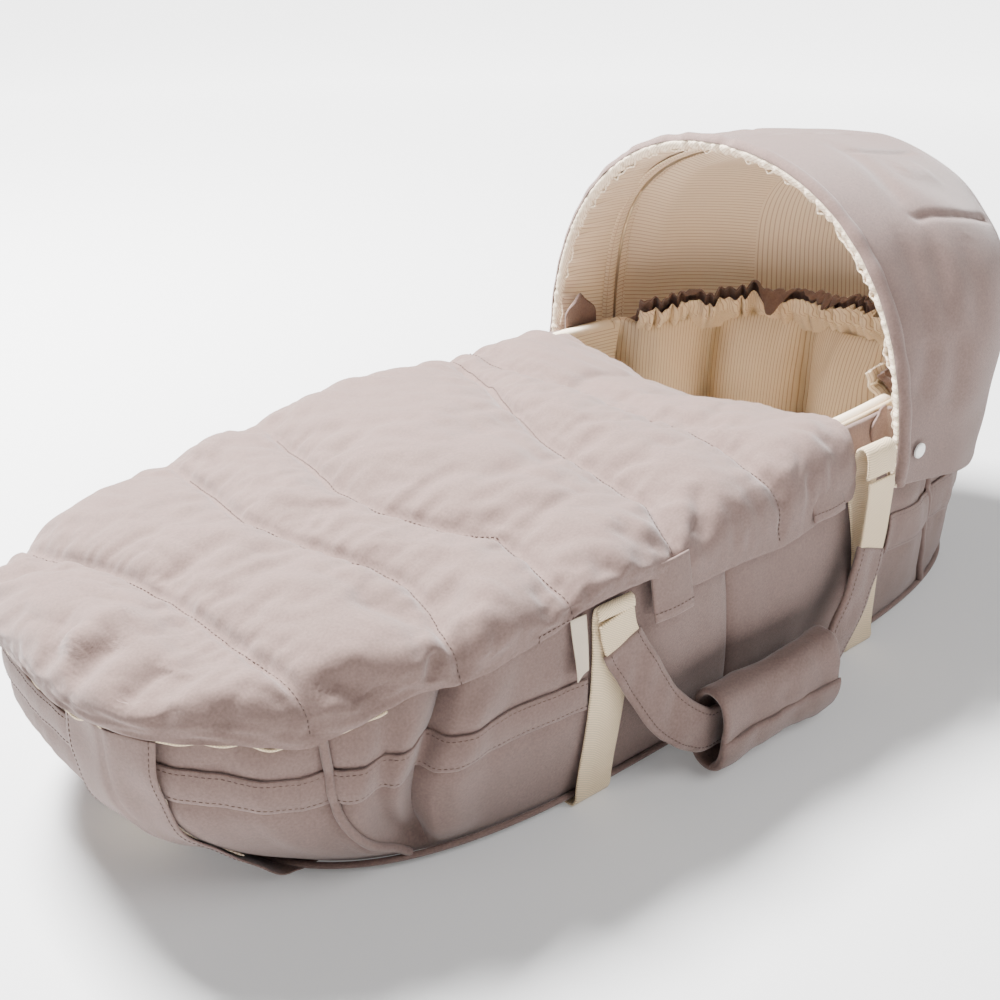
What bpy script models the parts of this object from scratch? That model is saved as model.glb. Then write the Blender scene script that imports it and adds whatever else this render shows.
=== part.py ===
"""Soft textile carrycot with a fold-back hood, a quilted foot cover and two carry handles.

X runs along the cot, foot at -X and head at +X, Y across it and +Z up. The origin lies on the
floor, under the middle of the flat base. All sizes are in metres.
"""

import math

import bmesh
import bpy
import numpy as np
from mathutils import Vector

MM = 0.001

# Cot body
WIDEST_X = -35 * MM         # station where the plan is widest, between its foot and head halves
FOOT_REACH = (287 * MM, 377 * MM, 372 * MM)   # from there to the foot: floor, mid height, top
HEAD_REACH = (441 * MM, 437 * MM, 430 * MM)   # from there to the head: floor, mid height, top
HALF_WIDTH = (172 * MM, 185 * MM, 168 * MM)   # floor, mid height, top
MID_HEIGHT = 95 * MM
TOP_HEIGHT = 200 * MM
FOOT_SQUARENESS = 3.0
HEAD_SQUARENESS = 3.6
RIM_STATIONS = (-0.41, -0.30, -0.20, -0.10, 0.0, 0.10, 0.15, 0.225, 0.245, 0.41)
RIM_HEIGHTS = (0.146, 0.150, 0.160, 0.165, 0.168, 0.178, 0.184, 0.184, 0.171, 0.171)

# Fabric and padding
WALL_THICK = 5 * MM
LINER_THICK = 11 * MM
LINER_GAP = 1.4 * MM
LINER_HEAD_X = 0.235        # where the flat side lining meets the channelled head lining
LINER_HEAD_TOP = 0.166
CHANNELS = 5
CHANNEL_VALLEY = 8 * MM
CHANNEL_PLUMP = 12 * MM
SEWN_GAP = 0.4 * MM
SEAM_ANGLE = 0.0016         # half the opening left along an upright seam, in radians of plan
BASE_THICK = 5.4 * MM
BOARD_THICK = 4 * MM
MATTRESS_HEIGHT = 38 * MM
PIPING_RADIUS = 2 * MM
BAND_THICK = 2 * MM
BAND_GAP = 0.9 * MM
BAND_LEVELS = {"foot": (0.084, 0.095, 0.106), "head": (0.078, 0.095, 0.112)}
FOOT_BAND_RISE = 22 * MM    # how much higher the foot's band runs at the middle of the foot end

# Facets: the longest step on a flat stretch, and the largest turn at a corner
FLAT_STEP = 75 * MM
TURN_STEP = math.radians(9)
LEVELS = {"foot": (0.0058, 0.020, 0.040, 0.062, 0.084, 0.095, 0.106, 0.126),
          "side": (0.0058, 0.045, 0.084, 0.106, 0.130),
          "head": (0.0058, 0.045, 0.078, 0.095, 0.112, 0.140),
          "liner": (0.0062, 0.030, 0.062, 0.095, 0.130)}

# Seams, as stations at the top and at the bottom of the wall
FOOT_PIPING = (-0.310, -0.300)
GUSSET_SEAM = (-0.222, -0.286)
SIDE_SEAM = (0.006, 0.022)
HEAD_PIPING = (0.250, 0.290)

# Webbing and handles
WEBBING_WIDTH = 30 * MM
WEBBING_THICK = 2.2 * MM
FRONT_WEBBING_X = (-0.107, -0.116)      # top, floor
REAR_WEBBING_X = (0.150, 0.176)
STRAP_THICK = 5 * MM
NOSE_THICK = 2.2 * MM
HANDLE_FRONT = (-0.107, 0.1885, 0.147)  # sewn ends of the handle, as distances from the middle
HANDLE_REAR = (0.150, 0.1985, 0.171)
GRIP_START, GRIP_END = -0.036, 0.084
GRIP_OUT = 0.212
GRIP_HEIGHT = 0.039

# Cover
COVER_THICK = 5 * MM
COVER_OUT = 8.4 * MM        # its face beyond the wall, so that its hem clears the panels
COVER_EDGE_HEIGHT = 0.148
COVER_HEAD_X = 0.131
COVER_SPINE_FOOT_X = -0.250
QUILT_SEAMS = (-0.343, -0.232, -0.147, -0.052, 0.060)     # mean stations of the seams across it
QUILT_SEAM_Y = (-0.20, -0.15, -0.08, -0.02, 0.04, 0.10, 0.18)
QUILT_BENDS = ((-2 * MM, 5 * MM, 8 * MM, 9 * MM, 1 * MM, -9 * MM, -19 * MM),     # each seam's bend, at those
               (-4 * MM, 10 * MM, 18 * MM, 8 * MM, -2 * MM, -9 * MM, -13 * MM),
               (11 * MM, 23 * MM, 25 * MM, 7 * MM, -13 * MM, -18 * MM, -11 * MM),
               (18 * MM, 28 * MM, 16 * MM, -8 * MM, -24 * MM, -18 * MM, 12 * MM),
               (-12 * MM, 0.0, 6 * MM, 4 * MM, 0.0, -2 * MM, 0.0))
QUILT_PUFF = 8 * MM
COVER_STATIONS = (-0.42, -0.33, -0.225, -0.13, -0.03, 0.075, 0.13, 0.16)
COVER_TOPS = (0.160, 0.170, 0.177, 0.182, 0.187, 0.196, 0.203, 0.204)
HEM_STATIONS = (-0.42, -0.36, -0.325, -0.29, -0.26, -0.205, -0.16, -0.14, -0.075, -0.035, 0.07, 0.131)
HEM_HEIGHTS = (0.141, 0.138, 0.129, 0.134, 0.145, 0.143, 0.152, 0.161, 0.161, 0.140, 0.139, 0.150)

# Hood
HOOD_FRONT_X = 0.181
BRIM_START_X = 0.189
BOW_X = 0.246
HOOD_REAR_START_X = 0.250
HOOD_HALF_WIDTH = 0.195
HOOD_REAR_REACH = 0.188
HOOD_REAR_SQUARENESS = 1.75
HOOD_RIDGE_END_X = 0.379
HOOD_ARCH = 2.2
HOOD_BULGE = 0.27
HOOD_RIDGE = ((0.177, 0.270, 0.379), (0.372, 0.366, 0.351))
HOOD_HEM = ((0.177, 0.289, 0.460), (0.150, 0.130, 0.130))
HOOD_THICK = 5 * MM
HOOD_LINING_INSET = 7 * MM
HOOD_LINING_THICK = 2 * MM
HOOD_ROLL_RADIUS = 7 * MM
BOW_RADIUS = 2 * MM
HOOD_AXIS = (0.225, 0.165)

SIDES = (("near", -1), ("far", 1))


def material(name, colour, roughness, metallic=0.0):
    """One Principled material in the part's colour."""
    made = bpy.data.materials.new(name)
    made.use_nodes = True
    shader = made.node_tree.nodes["Principled BSDF"]
    shader.inputs["Base Color"].default_value = (*colour, 1.0)
    shader.inputs["Roughness"].default_value = roughness
    shader.inputs["Metallic"].default_value = metallic
    return made


def add_mesh(name, vertices, faces, finish, parent=None):
    """A closed mesh object from points and faces, joined where points meet, faces outwards."""
    mesh = bpy.data.meshes.new(name)
    mesh.from_pydata([tuple(map(float, v)) for v in vertices], [], faces)
    shape = bmesh.new()
    shape.from_mesh(mesh)
    bmesh.ops.remove_doubles(shape, verts=shape.verts, dist=0.00001)
    bmesh.ops.recalc_face_normals(shape, faces=shape.faces)
    if shape.calc_volume(signed=True) < 0:
        bmesh.ops.reverse_faces(shape, faces=shape.faces)
    shape.to_mesh(mesh)
    shape.free()
    mesh.shade_smooth()
    mesh.set_sharp_from_angle(angle=math.radians(50))
    mesh.materials.append(finish)
    made = bpy.data.objects.new(name, mesh)
    bpy.context.scene.collection.objects.link(made)
    if parent is not None:
        made.parent = parent
        made.matrix_parent_inverse = parent.matrix_world.inverted()
    return made


def slab(name, outer, inner, finish, parent=None, closed_across=False, spine=None):
    """A shell between two grids of points: both faces, and walls along the open edges.

    spine names the edge, "first" or "last", where the grid's two halves meet and need no wall.
    """
    along, across = outer.shape[:2]
    vertices = np.concatenate([outer.reshape(-1, 3), inner.reshape(-1, 3)])
    under = along * across

    def at(i, j, layer):
        return (i % along) * across + (j % across) + layer * under

    faces = []
    steps = along - 1
    strips = across if closed_across else across - 1
    for i in range(steps):
        for j in range(strips):
            corners = ((i, j), (i + 1, j), (i + 1, j + 1), (i, j + 1))
            faces.append([at(a, b, 0) for a, b in corners])
            faces.append([at(a, b, 1) for a, b in reversed(corners)])
    if not closed_across:
        edges = [j for j, end in ((0, "first"), (across - 1, "last")) if end != spine]
        for j in edges:
            faces += [[at(i, j, 0), at(i + 1, j, 0), at(i + 1, j, 1), at(i, j, 1)] for i in range(steps)]
    for i in (0, along - 1):
        faces += [[at(i, j, 0), at(i, j + 1, 0), at(i, j + 1, 1), at(i, j, 1)] for j in range(strips)]
    return add_mesh(name, vertices, faces, finish, parent)


def tube(name, path, radius, finish, parent=None, closed=False, sides=8):
    """A round rod along a path, with flat ends unless it closes on itself."""
    path = np.asarray(path)
    if closed:
        ahead = np.roll(path, -1, axis=0) - np.roll(path, 1, axis=0)
    else:
        ahead = np.gradient(path, axis=0)
    ahead /= np.linalg.norm(ahead, axis=1)[:, None]
    up = np.array([0.0, 0.0, 1.0]) if closed else np.array([1.0, 0.0, 0.0])
    side = np.cross(ahead, up)
    side /= np.linalg.norm(side, axis=1)[:, None]
    top = np.cross(side, ahead)
    turn = np.linspace(0, 2 * math.pi, sides, endpoint=False)
    ring = path[:, None] + radius * (np.cos(turn)[:, None] * side[:, None] + np.sin(turn)[:, None] * top[:, None])
    count = len(path)
    faces = []
    for i in range(count if closed else count - 1):
        for j in range(sides):
            a, b = i * sides, ((i + 1) % count) * sides
            k = (j + 1) % sides
            faces.append([a + j, b + j, b + k, a + k])
    if not closed:
        faces.append(list(range(sides)))
        faces.append(list(range((count - 1) * sides, count * sides)))
    return add_mesh(name, ring.reshape(-1, 3), faces, finish, parent)


def smooth_path(points, steps=6):
    """A smooth curve through the given points, by cubic pieces with matching directions."""
    points = np.asarray(points, float)
    padded = np.concatenate([[2 * points[0] - points[1]], points, [2 * points[-1] - points[-2]]])
    curve = []
    for before, start, end, after in zip(padded, padded[1:], padded[2:], padded[3:]):
        for t in np.linspace(0, 1, steps, endpoint=False):
            curve.append(0.5 * (2 * start + (end - before) * t
                                + (2 * before - 5 * start + 4 * end - after) * t ** 2
                                + (3 * start - before - 3 * end + after) * t ** 3))
    curve.append(points[-1])
    return np.array(curve)


def strap(name, path, across, width, thick, finish, parent=None):
    """A flat strap along a path; across gives its width direction, thick may vary along it."""
    ahead = np.gradient(path, axis=0)
    ahead /= np.linalg.norm(ahead, axis=1)[:, None]
    across = across - np.sum(across * ahead, axis=1)[:, None] * ahead
    across /= np.linalg.norm(across, axis=1)[:, None]
    facing = np.cross(ahead, across)
    thick = np.broadcast_to(thick, len(path))[:, None, None]
    rows = path[:, None] + width * np.array([-0.5, 0.5])[:, None] * across[:, None]
    return slab(name, rows + 0.5 * thick * facing[:, None], rows - 0.5 * thick * facing[:, None], finish, parent)


def plan_sizes(z):
    """Foot reach, head reach and half width of the wall at a height."""
    low = np.sin(np.clip(z / MID_HEIGHT, 0, 1) * math.pi / 2)
    high = np.clip((z - MID_HEIGHT) / (TOP_HEIGHT - MID_HEIGHT), 0, 1.2) ** 2
    return [floor + (mid - floor) * low + (top - mid) * high
            for floor, mid, top in (FOOT_REACH, HEAD_REACH, HALF_WIDTH)]


def wall(angle, z, out=0.0):
    """Points of the cot's wall: a superellipse in plan, at a plan angle and height, moved outwards."""
    angle, z, out = np.broadcast_arrays(angle, z, out)
    foot, head, half = plan_sizes(z)
    c, s = np.cos(angle), np.sin(angle)
    power = np.where(c < 0, FOOT_SQUARENESS, HEAD_SQUARENESS)
    scale = (np.abs(c) ** power + np.abs(s) ** power) ** (-1 / power)
    reach = np.where(c < 0, foot, head) + out
    return np.stack([WIDEST_X + reach * c * scale, (half + out) * s * scale, z], axis=-1)


def angle_at(x, side):
    """Plan angle where the wall passes station x at mid height, on the near or the far side."""
    x = np.asarray(x, float)
    reach = np.where(x < WIDEST_X, FOOT_REACH[1], HEAD_REACH[1])
    power = np.where(x < WIDEST_X, FOOT_SQUARENESS, HEAD_SQUARENESS)
    c = (x - WIDEST_X) / reach
    s = (1 - np.abs(c) ** power) ** (1 / power)
    return np.arctan2(s, c) * side


def rim_height(x):
    return np.interp(x, RIM_STATIONS, RIM_HEIGHTS)


def even_angles(start, end):
    """Plan angles from start to end, close together where the outline turns and wide on its flats."""
    fine = np.linspace(start, end, 900)
    ahead = np.diff(wall(fine, MID_HEIGHT)[:, :2], axis=0)
    heading = np.unwrap(np.arctan2(ahead[:, 1], ahead[:, 0]))
    turning = np.abs(np.diff(heading, prepend=heading[0]))
    measure = np.concatenate([[0.0], np.cumsum(np.hypot(*ahead.T) / FLAT_STEP + turning / TURN_STEP)])
    return np.interp(np.linspace(0, measure[-1], int(measure[-1]) + 2), measure, fine)


def wall_grid(start, end, levels, out, to_rim=True, angles=None, rise=0.0):
    """Grid on the wall between two upright seams, each given as plan angles at top and bottom.

    rise lifts the middle of a band, in an even bow, above its two ends.
    """
    middle = [sum(seam_angles) / 2 for seam_angles in (start, end)]
    angles = even_angles(*middle) if angles is None else angles
    t = ((angles - middle[0]) / (middle[1] - middle[0]))[:, None]
    heights = np.asarray(levels)[None, :] + rise * np.sin(math.pi * t) ** 0.8
    if to_rim:
        top = rim_height(wall(angles, 0.16)[:, 0])[:, None]
        heights = np.concatenate([heights, top], axis=1)
    h = (heights - heights[:, :1]) / (heights[:, -1:] - heights[:, :1])
    left = start[1] + (start[0] - start[1]) * h
    right = end[1] + (end[0] - end[1]) * h
    return wall(left + (right - left) * t, heights, out)


def panel(name, start, end, finish, levels, out=0.0, thick=WALL_THICK, to_rim=True, rise=0.0):
    """A sewn panel of the wall, clear of its neighbours by a seam's opening at both ends."""
    turn = SEAM_ANGLE if end[0] > start[0] else -SEAM_ANGLE
    start = [a + turn for a in start]
    end = [a - turn for a in end]
    outer = wall_grid(start, end, levels, out, to_rim, rise=rise)
    inner = wall_grid(start, end, levels, out - thick, to_rim, rise=rise)
    return slab(name, outer, inner, finish)


def seam(stations, side):
    """A seam's plan angles at the top and bottom of the wall, on the near or the far side."""
    return [float(angle_at(x, side)) for x in stations]


def upright(x, side):
    return seam((x, x), side)


def past_foot(angles):
    """A seam of the far side, with its angles counted on from the near side through the foot."""
    return [a - 2 * math.pi for a in angles]


def stack(name, levels, finish, crown=0.0):
    """A flat or crowned pad: closed rings, each at a height and a distance from the wall."""
    angles = even_angles(0, 2 * math.pi)[:-1]
    count = len(angles)
    rings = [wall(angles, height, out) for height, out in levels]
    faces = []
    for i in range(len(levels) - 1):
        for j in range(count):
            k = (j + 1) % count
            faces.append([i * count + j, i * count + k, (i + 1) * count + k, (i + 1) * count + j])
    faces.append(list(range(count))[::-1])
    if crown:
        raised = wall(angles, levels[-1][0], levels[-1][1] - 0.09)
        raised[:, 2] += crown
        rings.append(raised)
        first = (len(levels) - 1) * count
        for j in range(count):
            k = (j + 1) % count
            faces.append([first + j, first + k, first + count + k, first + count + j])
    faces.append([(len(rings) - 1) * count + j for j in range(count)])
    return add_mesh(name, np.concatenate(rings), faces, finish)


def base_and_bedding(taupe, board, cream):
    """Flat base panel with grooves for the webbing, stiff board, and the mattress on it."""
    base = stack("bottom_panel", [(0.0, -3 * MM), (1.5 * MM, -1 * MM), (BASE_THICK, -0.5 * MM)], taupe)
    webbing_groove = (WEBBING_WIDTH + 2 * MM, 0.5, WEBBING_THICK + 0.6 * MM)
    grooves = [(FRONT_WEBBING_X[1], 0.0, *webbing_groove),
               (REAR_WEBBING_X[1], 0.0, *webbing_groove),
               (-0.312, -0.068, 0.050, 0.068, 4.2 * MM)]
    below = 4 * MM
    for number, (x, y, length, width, deep) in enumerate(grooves):
        bpy.ops.mesh.primitive_cube_add(size=1, location=(x, y, (deep - below) / 2))
        cutter = bpy.context.object
        cutter.name = f"groove_cutter_{number}"
        cutter.scale = (length, width, deep + below)
        cutter.hide_render = True
        cutter.display_type = "WIRE"
        cut = base.modifiers.new(cutter.name, "BOOLEAN")
        cut.object = cutter
        cut.solver = "EXACT"
    board_low = BASE_THICK + SEWN_GAP
    stack("base_board", [(board_low, -24 * MM), (board_low + BOARD_THICK, -24 * MM)], board)
    low = board_low + BOARD_THICK + SEWN_GAP
    stack("mattress", [(low, -40 * MM), (low + 0.25 * MATTRESS_HEIGHT, -36 * MM),
                       (low + 0.7 * MATTRESS_HEIGHT, -36 * MM), (low + 0.92 * MATTRESS_HEIGHT, -44 * MM)],
          cream, crown=5 * MM)


def outer_walls(taupe):
    """Outer fabric panels: foot, corner gussets, sides in two lengths, and head."""
    panel("foot_panel", seam(FOOT_PIPING, -1), past_foot(seam(FOOT_PIPING, 1)), taupe, LEVELS["foot"])
    for label, side in SIDES:
        piping, gusset = seam(FOOT_PIPING, side), seam(GUSSET_SEAM, side)
        middle, head = seam(SIDE_SEAM, side), seam(HEAD_PIPING, side)
        panel(f"corner_gusset_{label}", piping, gusset, taupe, LEVELS["foot"])
        panel(f"side_panel_foot_{label}", gusset, middle, taupe, LEVELS["side"])
        panel(f"side_panel_head_{label}", middle, head, taupe, LEVELS["side"])
    panel("head_panel", seam(HEAD_PIPING, -1), seam(HEAD_PIPING, 1), taupe, LEVELS["head"])


def liner(striped):
    """Padded striped lining: foot end, two flat sides, and the head with upright plump channels."""
    out = -(WALL_THICK + LINER_GAP)
    levels = LEVELS["liner"]
    near, far = upright(-0.222, -1), upright(-0.222, 1)
    panel("liner_foot", near, past_foot(far), striped, levels, out, LINER_THICK)
    for label, side in SIDES:
        span = upright(-0.222, side), upright(LINER_HEAD_X, side)
        panel(f"liner_side_{label}", *span, striped, levels, out, LINER_THICK)
    start = [a + SEAM_ANGLE for a in upright(LINER_HEAD_X, -1)]
    end = [a - SEAM_ANGLE for a in upright(LINER_HEAD_X, 1)]
    heights = np.linspace(levels[0], LINER_HEAD_TOP, 7)
    fine = even_angles(start[0], end[0])
    angles = np.interp(np.linspace(0, 1, 8 * CHANNELS + 1), np.linspace(0, 1, len(fine)), fine)
    outer = wall_grid(start, end, heights, out, False, angles)
    t = np.linspace(0, 1, len(angles))[:, None]
    h = np.linspace(0, 1, len(heights))[None, :]
    swell = np.abs(np.sin(CHANNELS * math.pi * t)) ** 0.7 * np.sin(math.pi * (0.08 + 0.84 * h)) ** 0.6
    inner = wall_grid(start, end, heights, out - CHANNEL_VALLEY - CHANNEL_PLUMP * swell, False, angles)
    slab("liner_head", outer, inner, striped)


def gathered_frill(taupe, striped, cord, metal):
    """Gathered edge round the head: an outer and a lining layer with a drawcord between them."""
    low, rise, lean = 0.1755, 30 * MM, 36 * MM
    angle = even_angles(upright(0.254, -1)[0], upright(0.254, 1)[0])[:, None]
    h = np.linspace(0, 1, 3)[None, :]
    slope = math.hypot(rise, lean)
    up, outward = lean / slope, rise / slope

    def layer(offset, h=h):
        return wall(angle, 0.17, -3 * MM - lean * h + outward * offset) + np.stack(
            np.broadcast_arrays(0.0, 0.0, low - 0.17 + rise * h + up * offset + 0 * angle), axis=-1)

    slab("frill_outer", layer(4 * MM), layer(2 * MM), taupe)
    slab("frill_lining", layer(-2 * MM), layer(-4 * MM), striped)
    tube("drawcord", layer(0.0, np.array([[0.88]]))[:, 0], 1.3 * MM, cord, sides=6)
    base = wall(0.0, 0.17, -3 * MM - lean * 0.75)
    base[2] = low + rise * 0.75
    normal = Vector((outward, 0.0, up)).normalized()
    ring_eyelet("drawcord_eyelet", Vector(base) + normal * 5.4 * MM, normal, metal)


def ring_eyelet(name, centre, normal, finish):
    """A small metal ring lying flat on the fabric."""
    turn = np.linspace(0, 2 * math.pi, 18, endpoint=False)
    first = normal.orthogonal().normalized()
    second = normal.cross(first)
    path = [centre + 4.2 * MM * (math.cos(a) * first + math.sin(a) * second) for a in turn]
    profile = np.linspace(0, 2 * math.pi, 6, endpoint=False)
    vertices, faces = [], []
    for point in path:
        radial = (point - centre).normalized()
        vertices += [point + 1.1 * MM * (math.cos(p) * radial + math.sin(p) * normal) for p in profile]
    for i in range(len(path)):
        for j in range(6):
            a, b, k = i * 6, ((i + 1) % len(path)) * 6, (j + 1) % 6
            faces.append([a + j, b + j, b + k, a + k])
    add_mesh(name, vertices, faces, finish)


def bands_and_piping(taupe, cream):
    """Stitched casing bands round both ends, and the corded piping along the seams."""
    def band(name, start, end, levels, rise=0.0):
        panel(name, start, end, taupe, levels, BAND_THICK + BAND_GAP, BAND_THICK, to_rim=False, rise=rise)

    past = 0.012
    foot, head = BAND_LEVELS["foot"], BAND_LEVELS["head"]
    front = FRONT_WEBBING_X[0] - WEBBING_WIDTH / 2 - past / 2
    rear = REAR_WEBBING_X[1] + WEBBING_WIDTH / 2 + past / 2
    foot_ends = upright(FOOT_PIPING[0] - past, -1), past_foot(upright(FOOT_PIPING[0] - past, 1))
    band("band_foot", *foot_ends, foot, rise=FOOT_BAND_RISE)
    band("band_head", upright(HEAD_PIPING[1], -1), upright(HEAD_PIPING[1], 1), head)
    for label, side in SIDES:
        band(f"band_side_foot_{label}", upright(GUSSET_SEAM[0] + past, side), upright(front, side), foot)
        band(f"band_side_head_{label}", upright(rear, side), upright(HEAD_PIPING[0] - past / 2, side), head)
        for end, stations, high in (("foot", FOOT_PIPING, 0.121), ("head", HEAD_PIPING, 0.124)):
            top, bottom = seam(stations, side)
            h = np.linspace(0, 1, 12)
            line = wall(bottom + (top - bottom) * h, 0.012 + (high - 0.012) * h, PIPING_RADIUS + SEWN_GAP)
            tube(f"piping_{end}_{label}", line, PIPING_RADIUS, taupe, sides=6)
        x = np.linspace(0.140, 0.230, 8)
        line = wall(angle_at(x, side), rim_height(x) + 2 * MM, -5.5 * MM)
        tube(f"rim_binding_{label}", line, 1.5 * MM, cream, sides=6)
    angles = even_angles(0, 2 * math.pi)[:-1]
    overhang = np.clip(-1.5 * np.cos(angles), 0, 1) * 2.6 * MM
    tube("piping_base", wall(angles, 7.4 * MM, PIPING_RADIUS + 2 * SEWN_GAP + overhang), PIPING_RADIUS, taupe,
         closed=True, sides=6)


def webbing_path(stations, up_points):
    """Route of one webbing: far loop, down the far wall, under the base, up the near wall."""
    half = WEBBING_THICK / 2
    near = [(0.0, half), (0.150, half), (0.1745, half), (0.1800, 3.6 * MM), (0.1816, 8 * MM), (0.1816, 15 * MM)]
    near += [(plan_sizes(np.array(z))[2] + 1.7 * MM + 4.4 * MM * max(0.0, 1 - z / 0.06), z)
             for z in (0.03, 0.05, 0.075, 0.10, 0.125)]
    near += list(up_points)
    near = smooth_path([(0.0, y, z) for y, z in near], steps=2)
    top, floor = stations
    near[:, 0] = floor + (top - floor) * np.clip(near[:, 2] / 0.15, 0, 1)
    far = near[:0:-1].copy()
    near[:, 1] *= -1
    return np.concatenate([far, near])


def webbings(cream):
    """The two webbings that run under the cot and up both sides, and the bare woven label."""
    front_y, front_z = HANDLE_FRONT[1:]
    rear_y, rear_z = HANDLE_REAR[1:]
    front = [(0.1816, 0.145), (0.1826, 0.153), (0.1850, 0.1565), (0.1872, 0.1545), (front_y - 0.3 * MM, front_z + 4 * MM)]
    rear = [(0.1816, 0.150), (0.1815, 0.175), (0.1845, 0.195), (0.1895, 0.1995), (0.1945, 0.195),
            (rear_y - 1.6 * MM, rear_z + 5 * MM)]
    for name, stations, points in (("webbing_front", FRONT_WEBBING_X, front), ("webbing_rear", REAR_WEBBING_X, rear)):
        path = webbing_path(stations, points)
        across = np.tile([1.0, 0.0, 0.0], (len(path), 1))
        strap(name, path, across, WEBBING_WIDTH, WEBBING_THICK, cream)
    x = FRONT_WEBBING_X[0] - WEBBING_WIDTH / 2 - 5 * MM
    label = upright(x - 12 * MM, -1), upright(x, -1)
    panel("side_label", *label, cream, (0.112, 0.132, 0.152), 2.2 * MM, 1 * MM, to_rim=False)


def foot_strap(taupe, striped):
    """Wide strap at the foot: from the wall under the cover's hem, down the end and under it."""
    route = [(-0.4165, -0.050, 0.131), (-0.4200, -0.052, 0.105), (-0.4150, -0.055, 0.070), (-0.3970, -0.059, 0.034),
             (-0.3700, -0.063, 0.0085), (-0.3460, -0.066, 0.0028), (-0.3200, -0.067, 0.0022), (-0.2950, -0.068, 0.0022)]
    path = smooth_path(route, steps=4)
    across = np.tile([0.18, -1.0, 0.0], (len(path), 1))
    ahead = np.gradient(path, axis=0)
    ahead /= np.linalg.norm(ahead, axis=1)[:, None]
    facing = np.cross(ahead, across / np.linalg.norm(across[0]))
    facing /= np.linalg.norm(facing, axis=1)[:, None]
    inward = 3.6 * MM * np.sign(facing[0, 0])
    strap("foot_strap", path, across, 60 * MM, 1.4 * MM, taupe)
    short = slice(2, -8)
    strap("foot_strap_lining", (path + inward * facing)[short], across[short], 54 * MM, 1.2 * MM, striped)


def handle(label, side, taupe, with_grip):
    """One carry handle on an empty at its hinge line through the two sewn ends."""
    hinge = bpy.data.objects.new(f"handle_{label}_hinge", None)
    hinge.location = (HANDLE_FRONT[0], side * HANDLE_FRONT[1], HANDLE_FRONT[2])
    bpy.context.scene.collection.objects.link(hinge)
    bpy.context.view_layer.update()
    points = [HANDLE_FRONT, (-0.103, 0.190, 0.128), (-0.091, 0.196, 0.102), (-0.072, 0.205, 0.066),
              (GRIP_START - 0.010, GRIP_OUT, GRIP_HEIGHT + 0.004), (GRIP_START + 0.01, GRIP_OUT, GRIP_HEIGHT),
              (0.024, GRIP_OUT, GRIP_HEIGHT), (GRIP_END - 0.01, GRIP_OUT, GRIP_HEIGHT),
              (GRIP_END + 0.012, GRIP_OUT - 0.001, GRIP_HEIGHT + 0.005), (0.122, 0.207, 0.072),
              (0.143, 0.202, 0.112), (0.149, 0.1995, 0.145), HANDLE_REAR]
    path = smooth_path(points, steps=3) * (1, side, 1)
    ahead = np.gradient(path, axis=0)
    across = np.cross(ahead, [0.0, 1.0, 0.0])
    from_end = np.minimum(np.arange(len(path)), np.arange(len(path))[::-1])
    thick = NOSE_THICK + (STRAP_THICK - NOSE_THICK) * np.clip(from_end / 2, 0, 1)
    strap(f"handle_strap_{label}", path, across, WEBBING_WIDTH, thick, taupe, hinge)
    if with_grip:
        turn = np.linspace(0, 2 * math.pi, 24, endpoint=False)
        along = np.linspace(GRIP_START, GRIP_END, 7)
        waist = 1 + 0.06 * np.cos(2 * math.pi * np.linspace(0, 1, 7))

        def sleeve(half_width, half_thick, squareness, swell):
            c, s = np.cos(turn), np.sin(turn)
            scale = (np.abs(c) ** squareness + np.abs(s) ** squareness) ** (-1 / squareness)
            y = side * GRIP_OUT + half_thick * (c * scale)[None] * swell[:, None]
            z = GRIP_HEIGHT + half_width * (s * scale)[None] * swell[:, None]
            return np.stack(np.broadcast_arrays(along[:, None], y, z), axis=-1)

        outer = sleeve(30 * MM, 11 * MM, 2.8, waist)
        bore = sleeve(17 * MM, 4.5 * MM, 6, np.ones(7))
        slab(f"grip_sleeve_{label}", outer, bore, taupe, hinge, closed_across=True)


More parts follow.
